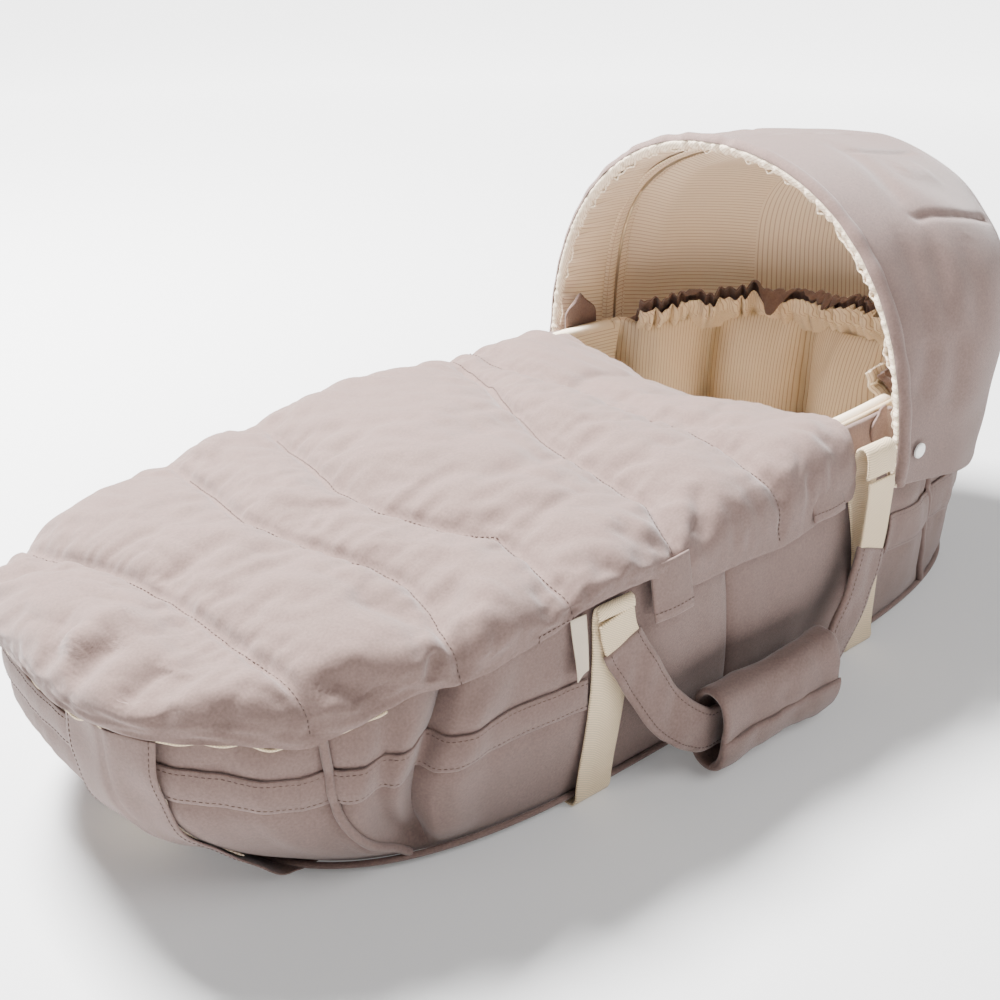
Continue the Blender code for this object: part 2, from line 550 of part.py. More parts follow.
def cover_surface(inset):
    """Rings from the middle line out to the hem, over a U-shaped edge open at the head end."""
    knots = (*QUILT_SEAMS[1:], COVER_HEAD_X)
    near = angle_at(np.interp(np.linspace(4, 0, 17), np.arange(5), knots), -1)
    foot = even_angles(near[-1], -2 * math.pi - near[-1])[1:-1]
    foot = (foot - foot[::-1]) / 2 - math.pi
    angle = np.concatenate([near, foot, -near[::-1] - 2 * math.pi])
    edge = wall(angle, COVER_EDGE_HEIGHT, COVER_OUT - inset)
    x = edge[:, 0]
    spine_x = np.maximum(x, COVER_SPINE_FOOT_X)
    far_side = edge[:, 1] > 0
    top_edge = np.interp(x, COVER_STATIONS, COVER_TOPS) - inset
    hem = np.interp(x, HEM_STATIONS, HEM_HEIGHTS)
    rings = [0.0, 0.22, 0.44, 0.66, 0.84, 0.93, 0.975, 1.0, 1.0]
    drop = [0.0, 0.0, 0.0, 0.0, 0.0, 0.10, 0.30, 0.62, 1.0]
    grid = []
    for ring, fall in zip(rings, drop):
        px = spine_x + (x - spine_x) * ring
        py = edge[:, 1] * ring
        surface = np.interp(px, COVER_STATIONS, COVER_TOPS) - inset
        seams = np.interp(px, (-0.44, *QUILT_SEAMS, 0.175), np.arange(len(QUILT_SEAMS) + 2))
        bends = [np.zeros(len(px)), *(np.interp(py, QUILT_SEAM_Y, bend) for bend in QUILT_BENDS), np.zeros(len(px))]
        before = seams.astype(int).clip(0, len(bends) - 2)
        here = np.arange(len(px))
        bend = np.stack(bends)[before, here] * (1 - seams + before) + np.stack(bends)[before + 1, here] * (seams - before)
        puff = QUILT_PUFF * np.abs(np.sin(math.pi * seams)) ** 0.8 * (1 - fall) * min(1.0, 4 * (1 - ring) + 0.3)
        sag = 34 * MM * np.clip((px - 0.02) / 0.13, 0, 1) ** 1.3 * np.clip(1 - (py / 0.150) ** 2, 0, 1)
        level = np.where(ring < 0.9, surface, top_edge)
        pz = level + puff - sag - (level - hem) * fall
        head_edge = 0.07 * (py + 0.18) + 16 * MM * (1 - (py / 0.19) ** 2)
        px = px + np.clip((px - 0.02) / 0.11, 0, 1) * np.where(far_side & (ring > 0.9), 0.0, head_edge) * (ring < 0.93)
        px = px + bend * (1 - fall) * (1 - ring ** 6)
        grid.append(np.stack([px, py, pz], axis=-1))
    return np.stack(grid, axis=1)


def cover(taupe, cream):
    """Quilted foot cover with the elastic in its foot hem, and its folded fastening tabs."""
    lift = bpy.data.objects.new("cover_lift", None)
    lift.location = (-0.1, 0.0, 0.15)
    bpy.context.scene.collection.objects.link(lift)
    bpy.context.view_layer.update()
    slab("cover_quilt", cover_surface(0.0), cover_surface(COVER_THICK), taupe, lift, spine="first")
    angle = np.linspace(float(angle_at(-0.27, -1)), float(angle_at(-0.27, 1)) - 2 * math.pi, 40)
    hem_line = wall(angle, COVER_EDGE_HEIGHT, COVER_OUT - COVER_THICK / 2)
    hem_line[:, 2] = np.interp(hem_line[:, 0], HEM_STATIONS, HEM_HEIGHTS) - 2.6 * MM
    tube("cover_hem_elastic", hem_line, 2 * MM, cream, lift, sides=6)
    for label, side in SIDES:
        for place, x, low, high in (("front", -0.052, 0.128, 0.160), ("rear", 0.098, 0.150, 0.180)):
            angle = angle_at(np.linspace(x - 0.016, x + 0.016, 3), side)[:, None]
            height = np.linspace(low, high, 3)[None, :]
            faces = []
            for out in (COVER_OUT + 3.4 * MM, COVER_OUT + 0.9 * MM):
                grid = wall(np.broadcast_to(angle, (3, 3)), COVER_EDGE_HEIGHT, out)
                grid[..., 2] = height
                faces.append(grid)
            slab(f"cover_tab_{place}_{label}", *faces, taupe, lift)


def hood_arch(x, turn, inset=0.0):
    """Points of the hood's barrel at station x; turn runs from the near foot of the arch over the top."""
    x, turn = np.broadcast_arrays(x, turn)
    base = np.interp(x, *HOOD_HEM)
    ridge = np.interp(x, *HOOD_RIDGE) - inset
    c, s = np.cos(turn), np.abs(np.sin(turn))
    lateral = np.sign(c) * np.abs(c) ** (2 / HOOD_ARCH)
    lateral = lateral + np.sign(c) * HOOD_BULGE * np.sin(2 * turn) ** 2 * np.clip((x - 0.177) / 0.2, 0, 1)
    return np.stack([x, -(HOOD_HALF_WIDTH - inset) * lateral, base + (ridge - base) * s ** (2 / HOOD_ARCH)], axis=-1)


def hood_rear(inset, columns, rows):
    """Rear of the hood: its hem turns round the head end, and its arches fan from the ridge's end."""
    turn = np.linspace(-math.pi / 2, math.pi / 2, columns)[:, None]
    rise = np.linspace(0, math.pi / 2, rows)[None, :]
    power = HOOD_REAR_SQUARENESS
    c, s = np.cos(turn), np.sin(turn)
    scale = (np.abs(c) ** power + np.abs(s) ** power) ** (-1 / power)
    x = HOOD_REAR_START_X + 0.4 * MM + (HOOD_REAR_REACH - inset) * c * scale
    y = (HOOD_HALF_WIDTH - inset) * s * scale
    ridge_x = np.minimum(x, HOOD_RIDGE_END_X - inset)
    base = np.interp(x, *HOOD_HEM)
    top = np.interp(ridge_x, *HOOD_RIDGE) - inset
    bulge = HOOD_BULGE * np.sin(2 * rise) ** 2 * np.clip((x - 0.177) / 0.2, 0, 1)
    lateral = np.cos(rise) ** (2 / HOOD_ARCH) + bulge
    height = np.sin(rise) ** (2 / HOOD_ARCH)
    lateral = np.where(rise > math.pi / 2 - 1e-6, 0.0, lateral)
    return np.stack(np.broadcast_arrays(ridge_x + (x - ridge_x) * lateral, y * lateral,
                                        base + (top - base) * height), axis=-1)


def hood(taupe, striped, cream, metal, white):
    """Fold-back front of the hood on its hinge, the sewn-on rear, and what holds the bow."""
    hinge = bpy.data.objects.new("hood_hinge", None)
    hinge.location = (HOOD_AXIS[0], 0.0, HOOD_AXIS[1])
    bpy.context.scene.collection.objects.link(hinge)
    bpy.context.view_layer.update()
    turn = np.linspace(0, math.pi, 37)[None, :]
    x = np.linspace(BRIM_START_X, HOOD_REAR_START_X, 3)[:, None]
    slab("hood_brim", hood_arch(x, turn), hood_arch(x, turn, HOOD_THICK), taupe, hinge)
    x = np.array([BRIM_START_X + HOOD_ROLL_RADIUS, HOOD_REAR_START_X])[:, None]
    lining = hood_arch(x, turn, HOOD_LINING_INSET), hood_arch(x, turn, HOOD_LINING_INSET + HOOD_LINING_THICK)
    slab("hood_brim_lining", *lining, striped, hinge)
    roll = hood_arch(HOOD_FRONT_X, turn[0], HOOD_THICK / 2)
    tube("hood_front_roll", roll, HOOD_ROLL_RADIUS, taupe, hinge, sides=8)
    low_turn = np.linspace(0.05, math.pi - 0.05, 31)
    bow_inset = HOOD_LINING_INSET + HOOD_LINING_THICK + BOW_RADIUS + 1 * MM
    tube("hood_bow", hood_arch(BOW_X, low_turn, bow_inset), BOW_RADIUS, metal, hinge, sides=6)
    casing_x = np.array([BOW_X - 10 * MM, BOW_X + 4 * MM])[:, None]
    casing_turn = np.linspace(0.06, math.pi - 0.06, 33)[None, :]
    inset = bow_inset + BOW_RADIUS + 0.8 * MM
    slab("hood_bow_casing", hood_arch(casing_x, casing_turn, inset), hood_arch(casing_x, casing_turn, inset + 1.2 * MM),
         striped, hinge)
    slab("hood_canopy", hood_rear(0.0, 31, 10), hood_rear(HOOD_THICK, 31, 10), taupe, spine="last")
    slab("hood_lining", hood_rear(HOOD_LINING_INSET + 1 * MM, 21, 8),
         hood_rear(HOOD_LINING_INSET + HOOD_LINING_THICK + 1 * MM, 21, 8), striped, spine="last")
    for label, side in SIDES:
        angle = angle_at(np.linspace(0.186, 0.214, 4), side)[:, None]
        height = np.linspace(0.158, 0.199, 4)[None, :]
        slab(f"bow_pocket_{label}", wall(angle, height, 4.6 * MM), wall(angle, height, 1.4 * MM), taupe)
        snap("hood_snap_cap_" + label, (0.198, side * 0.1953, 0.174), side * 2.2 * MM, 6 * MM, white, hinge)
        snap("hood_snap_stud_" + label, (0.198, side * 0.1803, 0.172), side * 3.4 * MM, 4 * MM, metal)


def snap(name, base, length, radius, finish, parent=None):
    """A short round button standing out sideways from the fabric, its edge rounded over."""
    turn = np.linspace(0, 2 * math.pi, 20, endpoint=False)
    rings = [(0.0, radius), (0.6, radius), (1.0, 0.75 * radius)]
    vertices = [(base[0] + r * math.cos(a), base[1] + length * along, base[2] + r * math.sin(a))
                for along, r in rings for a in turn]
    count = len(turn)
    faces = [[i * count + j, i * count + (j + 1) % count, (i + 1) * count + (j + 1) % count, (i + 1) * count + j]
             for i in range(len(rings) - 1) for j in range(count)]
    faces += [list(range(count)), list(range((len(rings) - 1) * count, len(rings) * count))]
    return add_mesh(name, vertices, faces, finish, parent)


def build():
    """Clear the scene and make every piece of the carrycot."""
    for existing in list(bpy.data.objects):
        bpy.data.objects.remove(existing)
    taupe = material("taupe cotton", (0.33, 0.27, 0.25), 0.9)
    striped = material("striped cotton", (0.80, 0.70, 0.56), 0.9)
    cream = material("cream webbing", (0.82, 0.76, 0.62), 0.85)
    white = material("white plastic", (0.88, 0.87, 0.84), 0.4)
    metal = material("steel", (0.6, 0.6, 0.6), 0.35, 1.0)
    board = material("board", (0.45, 0.38, 0.30), 0.8)
    base_and_bedding(taupe, board, striped)
    outer_walls(taupe)
    liner(striped)
    gathered_frill(taupe, striped, cream, metal)
    bands_and_piping(taupe, cream)
    webbings(cream)
    foot_strap(taupe, striped)
    for label, side in SIDES:
        handle(label, side, taupe, with_grip=(label == "near"))
    cover(taupe, cream)
    hood(taupe, striped, cream, metal, white)


build()
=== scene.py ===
import math

import bmesh
import bpy
import numpy as np
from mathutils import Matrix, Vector
from mathutils.bvhtree import BVHTree


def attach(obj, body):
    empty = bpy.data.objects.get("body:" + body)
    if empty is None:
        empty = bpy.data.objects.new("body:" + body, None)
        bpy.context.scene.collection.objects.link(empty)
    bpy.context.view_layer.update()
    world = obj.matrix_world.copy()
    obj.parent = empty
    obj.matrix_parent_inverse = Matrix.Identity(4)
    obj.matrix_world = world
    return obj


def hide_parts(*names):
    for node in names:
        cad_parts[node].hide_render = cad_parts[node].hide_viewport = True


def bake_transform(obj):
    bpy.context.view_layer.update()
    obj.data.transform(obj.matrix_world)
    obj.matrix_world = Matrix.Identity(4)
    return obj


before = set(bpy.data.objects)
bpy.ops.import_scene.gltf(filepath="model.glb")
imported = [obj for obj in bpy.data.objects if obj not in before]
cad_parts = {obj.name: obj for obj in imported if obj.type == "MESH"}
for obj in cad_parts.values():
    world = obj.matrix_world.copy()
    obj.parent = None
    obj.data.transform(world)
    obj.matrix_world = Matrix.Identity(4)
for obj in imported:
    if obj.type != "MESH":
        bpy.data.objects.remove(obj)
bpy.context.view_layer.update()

MM = 0.001
SIDES = (("near", -1), ("far", 1))


# Studio
# A plain white floor that grows brighter with distance, a strong soft light high up behind the far
# side, weaker ones by the foot and the near side, and a camera off the foot's near corner.
VIEW_TURN = math.radians(-39.6)
VIEW_RISE = math.radians(27.3)
VIEW_DISTANCE = 1.020
VIEW_CENTRE = Vector((-0.048, -0.0013, 0.136))
LENS = 48.6
SENSOR = 36.0
LIGHTS = (("overhead_light", (-0.30, 1.0, 1.80), 0.6, 300.0),
          ("left_light", (-1.8, 0.35, 1.0), 0.5, 4.0),
          ("front_light", (0.45, -1.5, 1.7), 1.2, 27.0))
WHITE = (1.0, 1.0, 1.0, 1.0)
SKY_STRENGTH = 0.24
FLOOR_REACH = 30.0
FLOOR_GREY = (0.70, 0.70, 0.70, 1.0)
FLOOR_GLOW = {"From Min": 0.5, "From Max": 2.5, "To Min": 0.15, "To Max": 4.0}


def look_from(thing, place, target):
    """Put a light or a camera at a place and turn its -Z axis to the target."""
    thing.location = place
    thing.rotation_euler = (target - place).to_track_quat("-Z", "Y").to_euler()
    bpy.context.scene.collection.objects.link(thing)


def fill(made, values):
    """Give a node's sockets their values: numbers and colours are set, and outputs are linked."""
    for socket, value in values.items():
        if isinstance(value, bpy.types.NodeSocket):
            made.id_data.links.new(value, made.inputs[socket])
        else:
            made.inputs[socket].default_value = value
    return made


def shade(finish, values):
    """Set or link the sockets of a finish's shader."""
    fill(finish.node_tree.nodes["Principled BSDF"], values)


def new_finish(name, values):
    """A material whose shader has these values in its sockets."""
    finish = bpy.data.materials.new(name)
    finish.use_nodes = True
    shade(finish, values)
    return finish


def node(finish, kind, values, **settings):
    """Add a node to a material: its own settings first, then its sockets' values."""
    made = finish.node_tree.nodes.new("ShaderNode" + kind)
    for setting, value in settings.items():
        setattr(made, setting, value)
    return fill(made, values)


camera = bpy.data.objects.new("camera", bpy.data.cameras.new("camera"))
camera.data.sensor_width = SENSOR
camera.data.lens = LENS
towards_camera = Vector((math.sin(VIEW_TURN) * math.cos(VIEW_RISE),
                         -math.cos(VIEW_TURN) * math.cos(VIEW_RISE), math.sin(VIEW_RISE)))
look_from(camera, VIEW_CENTRE + VIEW_DISTANCE * towards_camera, VIEW_CENTRE)
bpy.context.scene.camera = camera

for name, spot, size, watts in LIGHTS:
    lamp = bpy.data.lights.new(name, "AREA")
    lamp.shape = "SQUARE"
    lamp.size = size
    lamp.energy = watts
    look_from(bpy.data.objects.new(name, lamp), Vector(spot), VIEW_CENTRE)

sky = bpy.data.worlds.new("sky")
sky.use_nodes = True
fill(sky.node_tree.nodes["Background"], {"Color": WHITE, "Strength": SKY_STRENGTH})
bpy.context.scene.world = sky

floor_mesh = bpy.data.meshes.new("floor")
floor_corners = [(FLOOR_REACH * x, FLOOR_REACH * y, 0.0) for x, y in ((-1, -1), (1, -1), (1, 1), (-1, 1))]
floor_mesh.from_pydata(floor_corners, [], [(0, 1, 2, 3)])
floor_finish = new_finish("pale_floor", {"Base Color": FLOOR_GREY, "Roughness": 0.9, "Emission Color": WHITE})
on_floor = node(floor_finish, "TexCoord", {}).outputs["Object"]
from_middle = node(floor_finish, "VectorMath", {0: on_floor}, operation="LENGTH").outputs["Value"]
glow = node(floor_finish, "MapRange", {"Value": from_middle, **FLOOR_GLOW}).outputs["Result"]
shade(floor_finish, {"Emission Strength": glow})
floor_mesh.materials.append(floor_finish)
floor = bpy.data.objects.new("floor", floor_mesh)
bpy.context.scene.collection.objects.link(floor)


# Body panels
# Mauve-taupe cotton, cut into a foot end, two corner gussets, sides in two lengths and a head end,
# sewn edge to edge. The padding billows between the seams, and each seam draws the cloth in.
WIDEST_X = -35 * MM
FOOT_REACH = (287 * MM, 377 * MM, 372 * MM)
HEAD_REACH = (441 * MM, 437 * MM, 430 * MM)
HALF_WIDTH = (172 * MM, 185 * MM, 168 * MM)
MID_HEIGHT = 95 * MM
TOP_HEIGHT = 200 * MM
FOOT_SQUARENESS = 3.0
HEAD_SQUARENESS = 3.6
RIM_STATIONS = (-0.41, -0.30, -0.20, -0.10, 0.0, 0.10, 0.15, 0.225, 0.245, 0.41)
RIM_HEIGHTS = (0.146, 0.150, 0.160, 0.165, 0.168, 0.178, 0.184, 0.184, 0.171, 0.171)
RIM_SLUMP = 13 * MM
FAR_RIM_DROP = 9 * MM
PANEL_FOOT_HEIGHT = 5.8 * MM
SEAM_RISE = 0.155
WEBBING_RISE = 0.15
CLOTH_STEP = 5 * MM
WALL_THICK = 5 * MM

FOOT_PIPING = (-0.310, -0.300)
GUSSET_PLEAT = (-0.262, -0.294)
GUSSET_SEAM = (-0.222, -0.286)
SIDE_SEAM = (0.006, 0.022)
HEAD_PIPING = (0.250, 0.290)
FRONT_WEBBING_X = (-0.107, -0.116)
REAR_WEBBING_X = (0.150, 0.176)
FOOT_BAND = (0.084, 0.106)
HEAD_BAND = (0.078, 0.112)
FOOT_BAND_RISE = 22 * MM
FOOT_BAND_END_X = -0.322
SEAM_FORMS = (
    (FOOT_PIPING, 3.0, 6, 4.0, 34),
    (GUSSET_PLEAT, 11.0, 9, 1.5, 22),
    (GUSSET_SEAM, 14.0, 8, 6.5, 30),
    (SIDE_SEAM, 3.0, 3.5, 1.2, 22),
    (HEAD_PIPING, 3.0, 6, 3.0, 34),
)

TAUPE = (0.180, 0.116, 0.099)
THREAD = (0.100, 0.064, 0.054)
CLOTH_GRAIN = (1.7 * MM, 3.0)
CLOTH_PATCHES = (45 * MM, 2.0)
CLOTH_BLOTCH = 0.05
CLOTH_RELIEF = 0.18 * MM
STRIPE_PITCH = 3.7 * MM
STRIPE_EDGE = {"From Min": 0.07, "From Max": 0.16, "To Min": 1.0, "To Max": 0.0}


def smooth(edge_low, edge_high, value):
    """0 below the low edge, 1 above the high one, and 3 t^2 - 2 t^3 between."""
    t = np.clip((value - edge_low) / (edge_high - edge_low), 0, 1)
    return t * t * (3 - 2 * t)


def ripple(points, size, seed, waves=12):
    """Soft uneven waves, about -1 to 1: cosines of random heading and phase, each about size long."""
    draw = np.random.default_rng(seed)
    heading = draw.normal(size=(waves, points.shape[-1]))
    heading /= np.linalg.norm(heading, axis=1)[:, None]
    heading *= 2 * math.pi / (size * draw.uniform(0.7, 1.5, size=waves))[:, None]
    phase = draw.uniform(0, 2 * math.pi, size=waves)
    return np.cos(points @ heading.T + phase).sum(axis=-1) * math.sqrt(2 / waves) / 1.6


def stacked(*parts):
    """Arrays of matching shapes as one array of points."""
    return np.stack(np.broadcast_arrays(*parts), axis=-1)


def superellipse(c, s, power):
    """Distance from the middle to a superellipse of size one, for a heading's cosine and sine."""
    return (np.abs(c) ** power + np.abs(s) ** power) ** (-1 / power)


def wall(angle, z, out=0.0):
    """The cot's wall: in plan a superellipse whose size changes with height, moved outwards by out."""
    angle, z, out = np.broadcast_arrays(angle, z, out)
    low = np.sin(np.clip(z / MID_HEIGHT, 0, 1) * math.pi / 2)
    high = np.clip((z - MID_HEIGHT) / (TOP_HEIGHT - MID_HEIGHT), 0, 1.2) ** 2
    foot, head, half = (floor_size + (mid - floor_size) * low + (top - mid) * high
                        for floor_size, mid, top in (FOOT_REACH, HEAD_REACH, HALF_WIDTH))
    c, s = np.cos(angle), np.sin(angle)
    scale = superellipse(c, s, np.where(c < 0, FOOT_SQUARENESS, HEAD_SQUARENESS))
    reach = np.where(c < 0, foot, head) + out
    return np.stack([WIDEST_X + reach * c * scale, (half + out) * s * scale, z], axis=-1)


def angle_at(x, side):
    """Plan angle where the wall passes station x at mid height; the far side's angles are positive."""
    x = np.asarray(x, float)
    reach = np.where(x < WIDEST_X, FOOT_REACH[1], HEAD_REACH[1])
    power = np.where(x < WIDEST_X, FOOT_SQUARENESS, HEAD_SQUARENESS)
    c = (x - WIDEST_X) / reach
    s = (1 - np.abs(c) ** power) ** (1 / power)
    return np.arctan2(s, c) * side


def ends_at(x, round_foot=False):
    """Plan angles of station x on both sides; round the foot the far one is counted on from the near."""
    return angle_at(x, -1), angle_at(x, 1) - (2 * math.pi if round_foot else 0.0)


plan_angles = np.linspace(-2 * math.pi, math.pi, 9000)
plan_steps = np.linalg.norm(np.diff(wall(plan_angles, MID_HEIGHT), axis=0), axis=1)
plan_walk = np.concatenate([[0.0], np.cumsum(plan_steps)])


def walked(angle):
    """Distance walked round the wall at mid height up to a plan angle."""
    return np.interp(angle, plan_angles, plan_walk)


def spread(start, end, step=CLOTH_STEP):
    """Plan angles from one to the other, evenly spaced round the wall by about the step."""
    first, last = walked(start), walked(end)
    count = int(abs(last - first) / step) + 2
    return np.interp(np.linspace(first, last, count), plan_walk, plan_angles)


def rim_height(angle):
    """The rim's height at a plan angle; beside the hood the soft wall slumps on the far side."""
    x = wall(angle, 0.16)[..., 0]
    sideways = np.sin(angle) / 0.3
    slump = RIM_SLUMP * smooth(0.03, 0.13, x) * smooth(0.30, 0.22, x) * np.clip(sideways, -0.9, 1)
    under_cover = FAR_RIM_DROP * smooth(0.13, 0.03, x) * np.clip(sideways, 0, 1)
    return np.interp(x, RIM_STATIONS, RIM_HEIGHTS) - slump - under_cover


def seam_angles(stations, side):
    """Plan angles of a seam's top and bottom."""
    return [angle_at(x, side) for x in stations]


def leaning(top, bottom, z):
    """Plan angle at height z of an upright seam, from its angles at the top and the bottom."""
    return bottom + (top - bottom) * np.clip((z - PANEL_FOOT_HEIGHT) / SEAM_RISE, 0, 1)


def from_seam(angle, z, stations, side):
    """Signed distance along the wall from an upright seam that leans between two stations."""
    seam_angle = leaning(*seam_angles(stations, side), z)
    if side > 0:
        seam_angle = np.where(angle < -math.pi / 2, seam_angle - 2 * math.pi, seam_angle)
    return walked(angle) - walked(seam_angle)


def band_edges(angle):
    """Low and high edge of the stitched casing band; it bows up round the foot and is deeper at the
    head."""
    x = wall(angle, MID_HEIGHT)[..., 0]
    middle = walked(-math.pi)
    from_middle = np.abs(walked(angle) - middle) / (walked(angle_at(FOOT_BAND_END_X, -1)) - middle)
    bow = np.cos(np.clip(from_middle, 0, 1) * math.pi / 2) ** 0.8
    rise = FOOT_BAND_RISE * np.where(x < -0.32, bow, 0.0)
    return [np.where(x > 0.1, head, foot) + rise for foot, head in zip(FOOT_BAND, HEAD_BAND)]


def skin(angle, z):
    """How far the padded wall stands out: billows between seams, drawn in at seams and band edges,
    with short upright puckers that die away from the band. SEAM_FORMS gives each seam's stations and,
    in millimetres, how far and how wide it draws in, and how high and how far off its billows are."""
    along = walked(angle)
    out = 1.6 * MM * ripple(stacked(along, 0.45 * z), 0.11, 3)
    for _, side in SIDES:
        for stations, draw_in, width, billow, reach in SEAM_FORMS:
            d = from_seam(angle, z, stations, side) / MM
            out = out - draw_in * MM * np.exp(-(d / width) ** 2)
            out = out + billow * MM * np.exp(-((np.abs(d) - reach) / (0.5 * reach)) ** 2)
    low, high = band_edges(angle)
    x = wall(angle, MID_HEIGHT)[..., 0]
    banded = smooth(-0.118, -0.135, x) + smooth(0.190, 0.205, x)
    pucker_spot = stacked(along, 0.12 * z)
    pucker = ripple(pucker_spot, 0.017, 5) + 0.7 * ripple(pucker_spot, 0.034, 6)
    away = np.where(z < low, (low - z) / 0.028, np.where(z > high, (z - high) / 0.020, 1.3))
    out = out + banded * 1.7 * MM * pucker * np.exp(-away) * (1 - np.exp(-away * 4))
    for edge in (low, high):
        out = out - banded * 1.4 * MM * np.exp(-((z - edge) / 0.005) ** 2)
    out = np.where(out > 0, out * (1 - 0.8 * smooth(0.118, 0.138, z)), out)
    for top, bottom in (FRONT_WEBBING_X, REAR_WEBBING_X):
        beside = np.abs(x - bottom - (top - bottom) * np.clip(z / WEBBING_RISE, 0, 1))
        out = out * smooth(0.015, 0.030, beside) - 0.5 * MM * (1 - smooth(0.010, 0.022, beside))
    return out * smooth(0.006, 0.035, z)


def unit(vectors):
    """Vectors of length one."""
    return vectors / np.maximum(np.linalg.norm(vectors, axis=-1, keepdims=True), 1e-9)


def normals_of(grid, wrap=False):
    """Unit normals of a grid of points: the cross product of its two directions."""
    if wrap:
        across = np.roll(grid, -1, axis=1) - np.roll(grid, 1, axis=1)
    else:
        across = np.gradient(grid, axis=1)
    return unit(np.cross(np.gradient(grid, axis=0), across))


def metres(grid):
    """Cloth coordinates in metres: distance walked along each grid line from its first point."""
    u = np.zeros(grid.shape[:2])
    v = np.zeros(grid.shape[:2])
    u[1:] = np.cumsum(np.linalg.norm(np.diff(grid, axis=0), axis=2), axis=0)
    v[:, 1:] = np.cumsum(np.linalg.norm(np.diff(grid, axis=1), axis=2), axis=1)
    return np.stack([u, v], axis=-1)


def add_piece(name, points, faces, uv, finish):
    """A smooth-shaded mesh object at the origin, with its cloth coordinates as a UV map."""
    mesh = bpy.data.meshes.new(name)
    mesh.from_pydata(points.tolist(), [], faces.tolist() if hasattr(faces, "tolist") else faces)
    corners = np.zeros(len(mesh.loops), np.int32)
    mesh.loops.foreach_get("vertex_index", corners)
    mesh.uv_layers.new(name="cloth").data.foreach_set("uv", uv[corners].astype(np.float32).ravel())
    mesh.shade_smooth()
    mesh.materials.append(finish)
    made = bpy.data.objects.new(name, mesh)
    bpy.context.scene.collection.objects.link(made)
    return made


def lengthen(array, axis, step):
    """Two more lines past each open edge of a grid, carried on by a quarter circle's sine."""
    array = np.moveaxis(array, axis, 0)
    first, last = array[0] - array[1], array[-1] - array[-2]
    if array.shape[-1] == 3:
        first, last = step * unit(first), step * unit(last)
    else:
        first, last = 0.0 * first, 0.0 * last
    grown = np.concatenate([[array[0] + first, array[0] + 0.707 * first], array,
                            [array[-1] + 0.707 * last, array[-1] + last]])
    return np.moveaxis(grown, 0, axis)


def shell(name, face, thick, finish, uv=None, wrap=False, inward=1):
    """A cloth layer with rounded edges. The grid is its seen face and the other face lies thick
    behind it; past each open edge the two meet in a half circle. inward=-1 turns the faces over,
    and thick may vary over the grid."""
    normals = inward * normals_of(face, wrap)
    uv = metres(face) if uv is None else uv
    half = 0.5 * np.broadcast_to(thick, face.shape[:2])[..., None]
    thick = float(np.min(thick))
    middle = face - half * normals
    for axis in (0,) if wrap else (0, 1):
        middle = lengthen(middle, axis, 0.5 * thick)
        normals = lengthen(normals, axis, 0.0)
        uv = lengthen(uv, axis, 0.0)
        half = lengthen(half, axis, 0.0)
        taper = np.ones(half.shape[axis])
        taper[[0, -1]] = 0.0
        taper[[1, -2]] = 0.707
        half = half * np.expand_dims(taper, tuple(a for a in range(3) if a != axis))
    rows, columns = half.shape[:2]
    count = rows * columns
    index = np.arange(count).reshape(rows, columns)
    under = np.where(half[..., 0] < 1e-7, index, index + count)
    points = np.concatenate([(middle + way * half * normals).reshape(-1, 3) for way in (1, -1)])
    around = np.roll(np.arange(columns), -1) if wrap else np.arange(1, columns)
    here = np.arange(columns) if wrap else np.arange(columns - 1)

    def quads(layer, turned):
        corners = [layer[:-1][:, here], layer[1:][:, here], layer[1:][:, around], layer[:-1][:, around]]
        if turned:
            corners.reverse()
        return np.stack(corners, axis=-1).reshape(-1, 4)

    faces = np.concatenate([quads(index, inward < 0), quads(under, inward > 0)])
    used, faces = np.unique(faces, return_inverse=True)
    faces = faces.reshape(-1, 4)
    uv = np.concatenate([uv.reshape(-1, 2)] * 2)[used]
    return add_piece(name, points[used], faces, uv, finish)


def place(piece, body, slot, *nodes):
    """Hang a piece on its body and let it stand for the solids it dresses, which are hidden. The slot is not
    used.
    """
    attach(piece, body)
    if nodes:
        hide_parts(*nodes)
    return piece


def maths_for(finish):
    """A short way to add maths nodes to a material: each call gives the new node's output."""

    def maths(operation, *values):
        return node(finish, "Math", dict(enumerate(values)), operation=operation).outputs[0]
    return maths


def cloth_finish(name, roughness, sheen, sheen_roughness):
    """A matt, slightly fuzzy material, its maths nodes, and the two cloth coordinates in metres."""
    finish = new_finish(name, {"Roughness": roughness, "Specular IOR Level": 0.25,
                               "Sheen Weight": sheen, "Sheen Roughness": sheen_roughness})
    cloth = node(finish, "UVMap", {}, uv_map="cloth").outputs["UV"]
    u, v = node(finish, "SeparateXYZ", {0: cloth}).outputs[:2]
    return finish, maths_for(finish), u, v


def paint_cloth(finish, colour, tone, height, strength, relief):
    """Multiply a colour by a grey tone, and raise a height in the bump."""
    grey = node(finish, "CombineColor", {0: tone, 1: tone, 2: tone}).outputs[0]
    paint = node(finish, "Mix", {"Factor": 1.0, "A": colour, "B": grey}, data_type="RGBA",
                 blend_type="MULTIPLY")
    bump = node(finish, "Bump", {"Strength": strength, "Distance": relief, "Height": height})
    shade(finish, {"Base Color": paint.outputs["Result"], "Normal": bump.outputs[0]})


